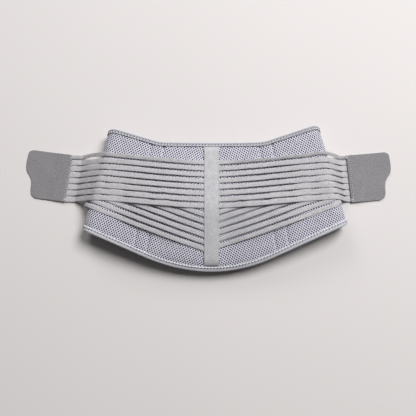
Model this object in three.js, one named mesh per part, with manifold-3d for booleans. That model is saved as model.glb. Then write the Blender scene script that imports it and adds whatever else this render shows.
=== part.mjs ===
// A lumbar support belt that lies on its front, closed into a flattened loop, with its back facing up.
// Millimetres, +Z up, +Y towards the belt's upper edge. The origin is on the resting face of the front flap.
import * as THREE from "three";
import Module from "manifold-3d";
import { mergeVertices } from "three/addons/utils/BufferGeometryUtils.js";

// Belt wall
const WALL = 5;                  // thickness of the padded mesh
const EDGE_WALL = 2.8;           // thickness where the binding pinches it
const EDGE_DEPTH = 9;            // width of the pinched edge
const EDGE_RAMP = 1.5;           // width over which the wall swells to full thickness
const SEAM_GAP = 0.3;            // between the halves at the centre back

// Back panel outline and height of its middle surface
const TOP_AT_CENTRE = 119.2;     // upper edge, level across the middle
const TOP_BEND_AT = 97;          // distance from the centre where the upper edge turns up
const TOP_BEND_BLEND = 12;       // half the length of that turn
const BOTTOM_AT_CENTRE = -119;   // lowest point of the lower edge
const BOTTOM_RADIUS = 270;       // radius of the lower edge's round middle
const CREST = 44;                // height along the panel's middle line
const CREST_ROUND = 14;          // how softly the panel bends there
const DROOP_ABOVE = 0.145;       // fall of the panel towards its upper edge at the centre
const DROOP_BELOW = 0.163;       // fall of the panel towards its lower edge at the centre

// Side folds and front flaps
const FOLD_RADIUS = 19.75;       // middle surface
const FLOOR_LEVEL = WALL / 2;    // middle surface of a flap that lies on the floor
const FOLD_AXIS = FLOOR_LEVEL + FOLD_RADIUS;
const FRONT_TOP = 95;
const FRONT_BOTTOM = -75;
const FRONT_TAPER = 150;         // length over which a flap narrows from its fold
const FLAP_REACH = 60;           // how far each flap passes the front centre
const FLAP_LIFT = 6.8;           // rise of the right flap over the left one
const LIFT_FROM = 150;           // distance from the centre where that rise begins
const LIFT_TO = 80;              // and where it ends

// Closure patch between the flaps
const PATCH = { width: 100, height: 120, thickness: 1.2, corner: 8, middle: 10 };

// Edge binding
const TAPE = 0.8;
const TAPE_GAP = 0.3;
const BINDING_WIDTH = 8.4;
const BINDING_ROLL = 0.7;        // how far its rounded edge stands out between the faces

// Straps, centre tape and pull tabs
const STRAP_WIDTH = 9.2;
const STRAP_THICKNESS = 0.9;
const STRAP_START = 3;           // distance of a strap's inner end from the centre
const LAYER_LOW = 0.4;           // height of a lower strap over the panel
const LAYER_HIGH = 1.75;         // height of an upper strap over the panel
const LAYER_RISE_FROM = 13.6;    // an upper strap climbs onto the lower set from here
const LAYER_RISE_TO = 25;        // to here
const UPPER_COUNT = 8;
const UPPER_PITCH = 11.8;
const UPPER_MIDDLE = 40.3;       // middle of the upper set at the centre tape
const UPPER_CLIMB = 18;          // its rise from there to the tab
const LOWER_COUNT = 6;
const LOWER_PITCH = 11.6;
const LOWER_SAG = 2;             // slack of the lower set between its ends
const CENTRE_STRIP = { width: 27.5, thickness: 1.2, top: 110.3, bottom: -108.7, step: 9 };
const LANDING_RADIUS = 12;       // bend of the straps onto the floor
const LANDING_LEVEL = 1;         // height of the strap surface at the tabs
const LANDING_SPARE = 2;         // level length of an upper strap before its tab
const LEAVE_RANGE = [25, 75];    // degrees from level between which an upper strap leaves the fold
const LEAVE_PASSES = 30;
const TAB = { height: 92, thickness: 2.6, sewnThickness: 5, sewnDepth: 14, sewnSlope: 20, layer: 1.1 };
const TAB_POCKET = { depth: 12, height: 2.8 };
const STRAP_IN_TAB = 10;         // length of strap inside the tab

// The two sides of the belt as it lies: fold line, edges' rise, straps and tab. The lower straps turn down
// with the fold and leave it at the angle given, in degrees from level.
const SIDES = [
  { name: "left", sign: -1, fold: 226.5, lean: 0.238, topRise: 0.285, bottomRise: 0.412,
    lowerStart: -84, lowerRise: 0.376, lowerLeave: 60,
    tabX: 271.5, tabY: 57.1, tabTurn: 8, tabLength: 86 },
  { name: "right", sign: 1, fold: 241.3, lean: 0.269, topRise: 0.325, bottomRise: 0.446,
    lowerStart: -78.4, lowerRise: 0.354, lowerLeave: 64,
    tabX: 266.1, tabY: 56, tabTurn: 4.5, tabLength: 78.5 },
];

// Outer end of a tab, from its upper to its lower corner: distance short of the full length, place across it
const TAB_END = [
  { short: 8, across: 45 },
  { short: 1.8, across: 35 },
  { short: 0, across: 14 },
  { short: 6, across: -2 },
  { short: 14, across: -18 },
  { short: 17, across: -33 },
  { short: 26, across: -45 },
];

const COLOURS = {
  mesh: 0xb7b5c4,
  binding: 0xc0c0c6,
  patch: 0x77757a,
  tape: 0xc8c8cd,
  strap: 0xc4c2c6,
  felt: 0x8c8a8d,
};

// Steps of the faceted shapes
const BACK_STEPS = 12;
const FOLD_STEPS = 10;
const FRONT_STEPS = 7;
const INNER_ROWS = [0.16, 0.32, 0.42, 0.5, 0.58, 0.68, 0.84];
const PANEL_STATIONS = [65, 105, 145, 178];   // distances from the centre along a strap
const FOLD_SHARES = [0, 0.25, 0.5, 0.75];     // places round the fold where a strap bends
const LANDING_SHARES = [0.66, 0.33];          // and where it bends onto the floor
const PATCH_CORNER_STEPS = 5;
const TAB_END_STEPS = 18;
const STRIP_RAMP = 18;           // length over which the centre tape comes down at its ends
const OVERCUT = 1;               // how far a cutting body stands past the body it cuts
const DIFFERENCE = 0.01;         // step for slopes
const NEAR_SEAM = 0.02;          // first place round the loop where a slope is taken
const PASSES = 8;                // rounds of a repeated approach to a crossing
const SAME_POINT = 1e-4;         // corners closer than this are one

const { lerp, smoothstep, degToRad } = THREE.MathUtils;

const wasm = await Module();
wasm.setup();

function material(colour) {
  return new THREE.MeshStandardMaterial({ color: colour, roughness: 0.95, metalness: 0 });
}

// Distance of the fold's axis from the centre, at height y on the belt
function foldAxis(side, y) {
  return side.fold - FOLD_RADIUS - side.lean * y;
}

// Upper edge of the back: level, a short bend, then a straight rise
function topEdge(side, x) {
  const past = x - (TOP_BEND_AT - TOP_BEND_BLEND);
  if (past <= 0) {
    return TOP_AT_CENTRE;
  }
  const bent = Math.min(past, 2 * TOP_BEND_BLEND);
  return TOP_AT_CENTRE + side.topRise * (bent * bent / (4 * TOP_BEND_BLEND) + past - bent);
}

// Lower edge of the back: a round middle that runs out into a straight rise
function bottomEdge(side, x) {
  const straightFrom = side.bottomRise * BOTTOM_RADIUS;
  const round = Math.min(Math.abs(x), straightFrom);
  return BOTTOM_AT_CENTRE + round * round / (2 * BOTTOM_RADIUS) + side.bottomRise * (Math.abs(x) - round);
}

// Height of the back's middle surface: a low ridge at the centre that levels out towards the fold
function backHeight(side, x, y) {
  const droop = y > 0 ? DROOP_ABOVE : DROOP_BELOW;
  const ridge = CREST - droop * (Math.hypot(y, CREST_ROUND) - CREST_ROUND);
  const across = Math.min(1, x / foldAxis(side, y));
  const fade = (1 - across * across) ** 2;
  return lerp(FOLD_AXIS + FOLD_RADIUS, ridge, fade);
}

// Middle surface of a belt half. The way round it is 0 to 1 on the back, 1 to 2 round the fold and 2 to 3 on
// the front flap. x is counted outwards from the centre.
function loopPoint(side, around, y) {
  const axis = foldAxis(side, y);
  if (around <= 1) {
    const x = Math.max(SEAM_GAP / 2, around * axis);
    return new THREE.Vector3(x, y, backHeight(side, x, y));
  }
  if (around <= 2) {
    const angle = (around - 1) * Math.PI;
    return new THREE.Vector3(
      axis + FOLD_RADIUS * Math.sin(angle), y, FOLD_AXIS + FOLD_RADIUS * Math.cos(angle));
  }
  const x = lerp(axis, -FLAP_REACH, around - 2);
  const lift = side.sign > 0 ? FLAP_LIFT * (1 - smoothstep(x, LIFT_TO, LIFT_FROM)) : 0;
  return new THREE.Vector3(x, y, FLOOR_LEVEL + lift);
}

// Upper or lower end of the belt's cross line at a place around the loop
function loopEdge(side, around, edge, frontLevel) {
  let y = frontLevel;
  for (let pass = 0; pass < PASSES; pass += 1) {
    y = edge(side, loopPoint(side, Math.min(around, 2), y).x);
  }
  if (around <= 2) {
    return y;
  }
  const travelled = foldAxis(side, y) - loopPoint(side, around, y).x;
  return lerp(y, frontLevel, smoothstep(travelled, 0, FRONT_TAPER));
}

// Middle surface, outward normal and direction of the cross line at one point
function loopFrame(side, around, y) {
  const before = Math.max(NEAR_SEAM, around - DIFFERENCE);
  const after = Math.min(3, before + 2 * DIFFERENCE);
  const along = loopPoint(side, after, y).sub(loopPoint(side, before, y));
  const across = loopPoint(side, around, y + DIFFERENCE).sub(loopPoint(side, around, y - DIFFERENCE));
  const normal = new THREE.Vector3().crossVectors(along, across).normalize();
  return { point: loopPoint(side, around, y), normal, across: across.normalize() };
}

function placed(side, point) {
  return [point.x * side.sign, point.y, point.z];
}

// The places around a half where its cross lines stand
function loopStations() {
  const stations = [];
  for (let i = 0; i <= BACK_STEPS; i += 1) {
    stations.push(i / BACK_STEPS);
  }
  for (let i = 1; i <= FOLD_STEPS; i += 1) {
    stations.push(1 + i / FOLD_STEPS);
  }
  for (let i = 1; i <= FRONT_STEPS; i += 1) {
    stations.push(2 + i / FRONT_STEPS);
  }
  return stations;
}

// Places and half thicknesses along one cross line, from the upper edge down
function wallRows(top, bottom) {
  const pinched = EDGE_WALL / 2;
  const full = WALL / 2;
  const inset = EDGE_DEPTH + EDGE_RAMP;
  const rows = [[top, pinched], [top - EDGE_DEPTH, pinched], [top - inset, full]];
  for (const share of INNER_ROWS) {
    rows.push([lerp(top - inset, bottom + inset, share), full]);
  }
  rows.push([bottom + inset, full], [bottom + EDGE_DEPTH, pinched], [bottom, pinched]);
  return rows;
}

// Turns all the triangles over if the body is inside out
function facingOut(positions, indices) {
  let volume = 0;
  const corner = (i) => new THREE.Vector3().fromArray(positions, indices[i] * 3);
  for (let i = 0; i < indices.length; i += 3) {
    volume += corner(i).dot(corner(i + 1).cross(corner(i + 2)));
  }
  if (volume < 0) {
    indices.reverse();
  }
  const geometry = new THREE.BufferGeometry();
  geometry.setAttribute("position", new THREE.Float32BufferAttribute(positions, 3));
  geometry.setIndex(indices);
  geometry.computeVertexNormals();
  return geometry;
}

// A closed body swept through sections, each a ring of the same number of points, with its two end caps
function sweptBody(sections, cap) {
  const ring = sections[0].length;
  const positions = sections.flat(2);
  const indices = [];
  for (let i = 0; i + 1 < sections.length; i += 1) {
    for (let j = 0; j < ring; j += 1) {
      const a = i * ring + j;
      const b = i * ring + (j + 1) % ring;
      indices.push(a, b, b + ring, a, b + ring, a + ring);
    }
  }
  const last = (sections.length - 1) * ring;
  for (const [a, b, c] of cap) {
    indices.push(a, c, b, last + a, last + b, last + c);
  }
  return facingOut(positions, indices);
}

// End cap of a wall whose ring runs along its outer face and back along its inner one
function wallCap(rows) {
  const cap = [];
  for (let j = 0; j + 1 < rows; j += 1) {
    const back = 2 * rows - 1 - j;
    cap.push([j, j + 1, back - 1], [j, back - 1, back]);
  }
  return cap;
}

// A wall between two faces, each given as its points at each section
function wallBody(outer, inner) {
  const sections = outer.map((row, i) => [...row, ...inner[i].toReversed()]);
  return sweptBody(sections, wallCap(outer[0].length));
}

// One padded half of the belt, from the centre back round the fold to the end of its front flap
function beltHalf(side) {
  const outer = [];
  const inner = [];
  for (const around of loopStations()) {
    const top = loopEdge(side, around, topEdge, FRONT_TOP);
    const bottom = loopEdge(side, around, bottomEdge, FRONT_BOTTOM);
    const faces = wallRows(top, bottom).map(([y, half]) => {
      const { point, normal } = loopFrame(side, around, y);
      return [half, -half].map((h) => placed(side, point.clone().addScaledVector(normal, h)));
    });
    outer.push(faces.map((face) => face[0]));
    inner.push(faces.map((face) => face[1]));
  }
  const mesh = new THREE.Mesh(wallBody(outer, inner), material(COLOURS.mesh));
  mesh.name = `belt_${side.name}`;
  return mesh;
}

// Outline of the folded tape across the belt's edge: depth into the belt and height over its middle surface
function bindingOutline() {
  const face = WALL / 2;
  const lining = face - TAPE;
  const back = -(TAPE_GAP + TAPE);
  return [
    [BINDING_WIDTH, face], [back + BINDING_ROLL, face], [back, face / 2],
    [back, -face / 2], [back + BINDING_ROLL, -face], [BINDING_WIDTH, -face],
    [BINDING_WIDTH, -lining], [-TAPE_GAP, -lining], [-TAPE_GAP, lining], [BINDING_WIDTH, lining],
  ];
}

// Tape along one whole edge, from the end of the left flap round the back to the end of the right one
function binding(name, edge, frontLevel, inwards) {
  const outline = bindingOutline();
  const sectionsOf = (side) => loopStations().map((around) => {
    const { point, normal, across } = loopFrame(side, around, loopEdge(side, around, edge, frontLevel));
    return outline.map(([depth, height]) => placed(side, point.clone()
      .addScaledVector(across, inwards * depth)
      .addScaledVector(normal, height)));
  });
  const [left, right] = SIDES.map(sectionsOf);
  const cap = THREE.ShapeUtils.triangulateShape(outline.map(([x, y]) => new THREE.Vector2(x, y)), []);
  const mesh = new THREE.Mesh(sweptBody([...left.reverse(), ...right], cap), material(COLOURS.binding));
  mesh.name = name;
  return mesh;
}

// Rounded hook patch that lies on the left flap, under the right one
function closurePatch() {
  const { width, height, thickness, corner, middle } = PATCH;
  const x = width / 2;
  const y = height / 2;
  const shape = new THREE.Shape();
  shape.moveTo(-x + corner, -y);
  shape.lineTo(x - corner, -y);
  shape.quadraticCurveTo(x, -y, x, -y + corner);
  shape.lineTo(x, y - corner);
  shape.quadraticCurveTo(x, y, x - corner, y);
  shape.lineTo(-x + corner, y);
  shape.quadraticCurveTo(-x, y, -x, y - corner);
  shape.lineTo(-x, -y + corner);
  shape.quadraticCurveTo(-x, -y, -x + corner, -y);
  const geometry = new THREE.ExtrudeGeometry(
    shape, { depth: thickness, bevelEnabled: false, curveSegments: PATCH_CORNER_STEPS });
  const mesh = new THREE.Mesh(closed(geometry), material(COLOURS.patch));
  mesh.position.set(0, middle, WALL + TAPE_GAP);
  mesh.name = "closure_patch";
  return mesh;
}

// A geometry with its shared corners merged
function closed(geometry) {
  const bare = geometry.clone();
  bare.deleteAttribute("normal");
  bare.deleteAttribute("uv");
  return mergeVertices(bare, SAME_POINT);
}

// The way down of straps that leave the fold at an angle: where they come off it, where their straight run
// ends and where they lie level, as distances past the fold's axis
function descent(angle) {
  const radius = FOLD_RADIUS + WALL / 2;
  const off = radius * Math.sin(angle);
  const offHeight = FOLD_AXIS + radius * Math.cos(angle);
  const landHeight = LANDING_LEVEL + LANDING_RADIUS * (1 - Math.cos(angle));
  const land = off + (offHeight - landHeight) / Math.tan(angle);
  return { radius, off, offHeight, land, level: land + LANDING_RADIUS * Math.sin(angle) };
}

// The angle at which a strap leaves the fold so that it lies level at a distance past the fold's axis
function leaveFor(reach) {
  let [least, most] = LEAVE_RANGE.map(degToRad);
  for (let pass = 0; pass < LEAVE_PASSES; pass += 1) {
    const angle = (least + most) / 2;
    if (descent(angle).level > reach) {
      least = angle;
    } else {
      most = angle;
    }
  }
  return most;
}

// Surface that a set of straps lies on: the panel's outer face, the fold, a straight run and a bend onto the
// level of the tabs
function strapSurface(side, angle, x, y) {
  const past = x - foldAxis(side, y);
  const { radius, off, offHeight, land, level } = descent(angle);
  if (past <= 0) {
    return backHeight(side, x, y) + WALL / 2;
  }
  if (past <= off) {
    return FOLD_AXIS + Math.sqrt(radius * radius - past * past);
  }
  if (past <= land) {
    return offHeight - Math.tan(angle) * (past - off);
  }
  const toLevel = Math.max(0, level - past);
  return LANDING_LEVEL + LANDING_RADIUS - Math.sqrt(LANDING_RADIUS ** 2 - toLevel ** 2);
}

// A point at a height over the strap surface, measured square to it
function overSurface(side, angle, x, y, height) {
  const level = (dx, dy) => strapSurface(side, angle, x + dx, y + dy);
  const step = DIFFERENCE;
  const normal = new THREE.Vector3(
    level(-step, 0) - level(step, 0), level(0, -step) - level(0, step), 2 * step).normalize();
  return new THREE.Vector3(x, y, level(0, 0)).addScaledVector(normal, height);
}

// Distances from the centre at which a strap bends: the climb at the tape, the panel, the fold, the landing
function strapStations(side, route) {
  const { radius, off, land, level } = descent(route.leave);
  const onFold = FOLD_SHARES.map((share) => radius * Math.sin(share * route.leave));
  const onLanding = LANDING_SHARES.map((share) => level - LANDING_RADIUS * Math.sin(share * route.leave));
  const offPanel = [...onFold, off, land, ...onLanding, level].map((past) => {
    let x = side.fold;
    for (let pass = 0; pass < PASSES; pass += 1) {
      x = foldAxis(side, route.height(x)) + past;
    }
    return x;
  });
  return [STRAP_START, LAYER_RISE_FROM, LAYER_RISE_TO, ...PANEL_STATIONS, ...offPanel, route.end];
}

// A flat strap along a route over the strap surface
function strap(side, name, route, layer) {
  const upper = [];
  const lower = [];
  for (const x of strapStations(side, route)) {
    const climb = route.height(x + DIFFERENCE) - route.height(x - DIFFERENCE);
    const half = new THREE.Vector2(-climb, 2 * DIFFERENCE).setLength(STRAP_WIDTH / 2);
    const edges = [1, -1].map((way) => [x + way * half.x, route.height(x) + way * half.y]);
    const rise = layer(x);
    const face = (height) => edges.map(
      ([ex, ey]) => placed(side, overSurface(side, route.leave, ex, ey, height)));
    upper.push(face(rise + STRAP_THICKNESS));
    lower.push(face(rise));
  }
  const mesh = new THREE.Mesh(wallBody(upper, lower), material(COLOURS.strap));
  mesh.name = name;
  return mesh;
}

// Distance from the centre of a tab's sewn edge, at height y, as the tab lies turned
function tabEdge(side, y) {
  return side.tabX + (side.tabY - y) * Math.tan(degToRad(side.tabTurn));
}

// The upper straps run level at the tape and climb gently to the tab
function upperStraps(side) {
  return Array.from({ length: UPPER_COUNT }, (_, i) => {
    const offset = ((UPPER_COUNT - 1) / 2 - i) * UPPER_PITCH;
    const edge = tabEdge(side, side.tabY + offset);
    const route = {
      height: (x) => UPPER_MIDDLE + UPPER_CLIMB * smoothstep(x, 0, side.tabX) + offset,
      leave: leaveFor(edge - foldAxis(side, side.tabY + offset) - LANDING_SPARE),
      end: edge + STRAP_IN_TAB,
    };
    const layer = (x) => lerp(LAYER_LOW, LAYER_HIGH, smoothstep(x, LAYER_RISE_FROM, LAYER_RISE_TO));
    return strap(side, `upper_strap_${side.name}_${i + 1}`, route, layer);
  });
}

// The lower straps run up to the tab in a line with a little slack, under the upper ones
function lowerStraps(side) {
  const pitch = LOWER_PITCH * Math.hypot(1, side.lowerRise);
  return Array.from({ length: LOWER_COUNT }, (_, i) => {
    const start = side.lowerStart + (LOWER_COUNT - 1 - i) * pitch;
    const height = (x) => start + side.lowerRise * x - LOWER_SAG * Math.sin(Math.PI * x / side.tabX);
    const end = tabEdge(side, height(side.tabX)) + STRAP_IN_TAB;
    const route = { height, leave: degToRad(side.lowerLeave), end };
    return strap(side, `lower_strap_${side.name}_${i + 1}`, route, () => LAYER_LOW);
  });
}

// Tape over the centre seam: it rides over the straps' inner ends and comes down to the panel at both ends
function centreStrip() {
  const { width, thickness, top, bottom, step } = CENTRE_STRIP;
  const [side] = SIDES;
  const clear = LAYER_LOW + STRAP_THICKNESS + TAPE_GAP;
  const upper = [];
  const lower = [];
  const count = Math.ceil((top - bottom) / step);
  for (let i = 0; i <= count; i += 1) {
    const y = lerp(top, bottom, i / count);
    const ends = Math.min(top - y, y - bottom);
    const rise = lerp(LAYER_LOW, clear, smoothstep(ends, 0, STRIP_RAMP));
    const places = [-width / 2, 0, width / 2];
    const face = (height) => places.map(
      (x) => overSurface(side, degToRad(side.lowerLeave), Math.abs(x), y, height).setX(x).toArray());
    upper.push(face(rise + thickness));
    lower.push(face(rise));
  }
  const mesh = new THREE.Mesh(wallBody(upper, lower), material(COLOURS.tape));
  mesh.name = "centre_strip";
  return mesh;
}

function solidOf(geometry) {
  const bare = closed(geometry);
  return new wasm.Manifold(new wasm.Mesh({
    numProp: 3,
    vertProperties: new Float32Array(bare.attributes.position.array),
    triVerts: new Uint32Array(bare.index.array),
  }));
}

function geometryOf(solid) {
  const { vertProperties, triVerts } = solid.getMesh();
  const geometry = new THREE.BufferGeometry();
  geometry.setAttribute("position", new THREE.BufferAttribute(vertProperties, 3));
  geometry.setIndex(new THREE.BufferAttribute(triVerts, 1));
  geometry.computeVertexNormals();
  return geometry;
}

// Plan of a tab, x outwards from its sewn edge: straight edges and a finger-grip outer end
function tabPlan(side) {
  const half = TAB.height / 2;
  const end = TAB_END.map(({ short, across }) => new THREE.Vector2(side.tabLength - short, across));
  const plan = new THREE.Shape();
  plan.moveTo(0, -half);
  plan.lineTo(0, half);
  plan.lineTo(end[0].x, end[0].y);
  plan.splineThru(end.slice(1));
  plan.lineTo(0, -half);
  return plan;
}

// Lengthwise section of a tab: thick over the sewn edge, with a pocket for the straps, then thin
function tabSection(side) {
  const { thickness, sewnThickness, sewnDepth, sewnSlope, layer } = TAB;
  const pocketTop = layer + TAB_POCKET.height;
  const points = [
    [0, 0], [side.tabLength, 0], [side.tabLength, thickness], [sewnDepth + sewnSlope, thickness],
    [sewnDepth, sewnThickness], [0, sewnThickness],
    [0, pocketTop], [TAB_POCKET.depth, pocketTop], [TAB_POCKET.depth, layer], [0, layer],
  ];
  return new THREE.Shape(points.map(([x, z]) => new THREE.Vector2(x, z)));
}

// Felt pull tab, sewn over the outer ends of both strap sets and lying on the floor
function pullTab(side) {
  const slabDepth = TAB.sewnThickness + 2 * OVERCUT;
  const slab = new THREE.ExtrudeGeometry(
    tabPlan(side), { depth: slabDepth, bevelEnabled: false, curveSegments: TAB_END_STEPS });
  slab.translate(0, 0, -OVERCUT);
  const profile = new THREE.ExtrudeGeometry(
    tabSection(side), { depth: TAB.height + 2 * OVERCUT, bevelEnabled: false });
  profile.rotateX(Math.PI / 2);
  profile.translate(0, TAB.height / 2 + OVERCUT, 0);
  const geometry = geometryOf(solidOf(slab).intersect(solidOf(profile)));
  geometry.rotateZ(degToRad(side.tabTurn));
  geometry.translate(side.tabX, side.tabY, 0);
  const positions = Array.from(
    geometry.attributes.position.array, (value, i) => (i % 3 === 0 ? value * side.sign : value));
  const mesh = new THREE.Mesh(facingOut(positions, Array.from(geometry.index.array)), material(COLOURS.felt));
  mesh.name = `tab_${side.name}`;
  return mesh;
}

const belt = new THREE.Group();
belt.name = "back_support";
for (const side of SIDES) {
  belt.add(beltHalf(side), ...lowerStraps(side), ...upperStraps(side), pullTab(side));
}
belt.add(
  binding("top_binding", topEdge, FRONT_TOP, -1),
  binding("bottom_binding", bottomEdge, FRONT_BOTTOM, 1),
  closurePatch(),
  centreStrip(),
);

export default belt;
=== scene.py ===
"""Looks of a lumbar support belt that lies closed on its front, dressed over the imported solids.

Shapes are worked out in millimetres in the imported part's frame and turned to metres when a mesh is made.
x counts outwards from the belt's centre on both sides, so one rule serves the left and the right half.
"""
import logging
import math
from dataclasses import dataclass
from enum import Enum
from typing import Callable, Sequence, Union

import bpy
import numpy as np
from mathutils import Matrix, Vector


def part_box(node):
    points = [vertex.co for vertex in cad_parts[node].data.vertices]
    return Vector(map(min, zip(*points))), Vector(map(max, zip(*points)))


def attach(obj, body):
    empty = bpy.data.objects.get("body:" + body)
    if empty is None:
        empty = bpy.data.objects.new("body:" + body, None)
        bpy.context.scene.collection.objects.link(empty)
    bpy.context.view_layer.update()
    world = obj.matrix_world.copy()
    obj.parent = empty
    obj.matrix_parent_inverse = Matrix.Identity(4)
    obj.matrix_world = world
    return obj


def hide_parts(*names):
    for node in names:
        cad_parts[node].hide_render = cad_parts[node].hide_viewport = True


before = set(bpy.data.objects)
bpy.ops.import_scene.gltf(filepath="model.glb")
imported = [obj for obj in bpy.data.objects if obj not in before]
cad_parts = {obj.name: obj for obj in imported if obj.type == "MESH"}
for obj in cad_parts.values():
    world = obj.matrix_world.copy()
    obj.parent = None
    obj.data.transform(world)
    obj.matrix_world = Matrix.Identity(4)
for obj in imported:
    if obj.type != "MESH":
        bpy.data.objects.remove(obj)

LOG = logging.getLogger("back_support")
MM = 0.001
BODY = "root"
Array = np.ndarray
Number = Union[float, Array]
Span = tuple[Number, Number]
Faces = list[tuple[int, ...]]


def lerp(a: Number, b: Number, share: Number) -> Number:
    """Returns the value at a share of the way from a to b."""
    return a + (b - a) * share


def smoothstep(x: Number, low: Number, high: Number) -> Number:
    """Returns a soft step from 0 at low to 1 at high."""
    t = np.clip((x - low) / (high - low), 0.0, 1.0)
    return t * t * (3.0 - 2.0 * t)


def unit(v: Array) -> Array:
    """Returns vectors of length one."""
    return v / np.linalg.norm(v, axis=-1, keepdims=True)


def window(x: Number, rise: Span, fall: Span) -> Number:
    """Returns 1 between a soft rise and a soft fall, and 0 outside them."""
    return smoothstep(x, *rise) * (1 - smoothstep(x, *fall))


def path_length(points: Array) -> Array:
    """Returns the length along a line of points, at each of them."""
    return np.concatenate([[0.0], np.cumsum(np.linalg.norm(np.diff(points, axis=0), axis=1))])


def places_round(*counts: int) -> Array:
    """Returns places round a half, so many on its back, round its fold and on its front flap."""
    return np.concatenate([np.linspace(i, i + 1, n)[min(i, 1):] for i, n in enumerate(counts)])


def linked(name: str, data: bpy.types.ID) -> bpy.types.Object:
    """Returns a new object of the scene."""
    made = bpy.data.objects.new(name, data)
    bpy.context.scene.collection.objects.link(made)
    return made


@dataclass(frozen=True)
class BeltSide:
    """One side of the belt as it lies, in millimetres and degrees.

    It gives the fold line, the rise of the edges, the run of the straps and the place of the pull tab.
    """

    name: str
    sign: int
    fold: float
    lean: float
    top_rise: float
    bottom_rise: float
    bottom_radius: float
    lower_start: float
    lower_rise: float
    lower_leave: float
    lower_hover: float
    lower_slack: float
    lower_tuck: float
    tab_x: float
    tab_y: float
    tab_turn: float
    tab_length: float
    flap_lift: float
    top_strap: float

    def placed(self, points: Array) -> Array:
        """Returns points in the part's frame, mirrored on the left side."""
        return points * np.array([self.sign, 1.0, 1.0])

    def tab_edge(self, y: Number) -> Number:
        """Returns how far out the tab's sewn edge lies at height y."""
        return self.tab_x + (self.tab_y - y) * math.tan(math.radians(self.tab_turn))


LEFT = BeltSide(
    name="left", sign=-1, fold=226.5, lean=0.238, top_rise=0.285, bottom_rise=0.43, bottom_radius=290.0,
    lower_start=-84.0, lower_rise=0.376, lower_leave=72.0, lower_hover=2.0, lower_slack=9.0, lower_tuck=3.0,
    tab_x=271.5, tab_y=57.1, tab_turn=7.6, tab_length=85.5, flap_lift=0.0, top_strap=0.78)
RIGHT = BeltSide(
    name="right", sign=1, fold=241.3, lean=0.269, top_rise=0.325, bottom_rise=0.446, bottom_radius=258.0,
    lower_start=-78.4, lower_rise=0.354, lower_leave=79.0, lower_hover=3.5, lower_slack=0.0, lower_tuck=8.0,
    tab_x=261.3, tab_y=56.0, tab_turn=5.2, tab_length=83.5, flap_lift=6.8, top_strap=0.64)
SIDES = (LEFT, RIGHT)


class Edge(Enum):
    """The belt's two long edges, with the way from the edge into the belt."""

    TOP = -1
    BOTTOM = 1


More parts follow.
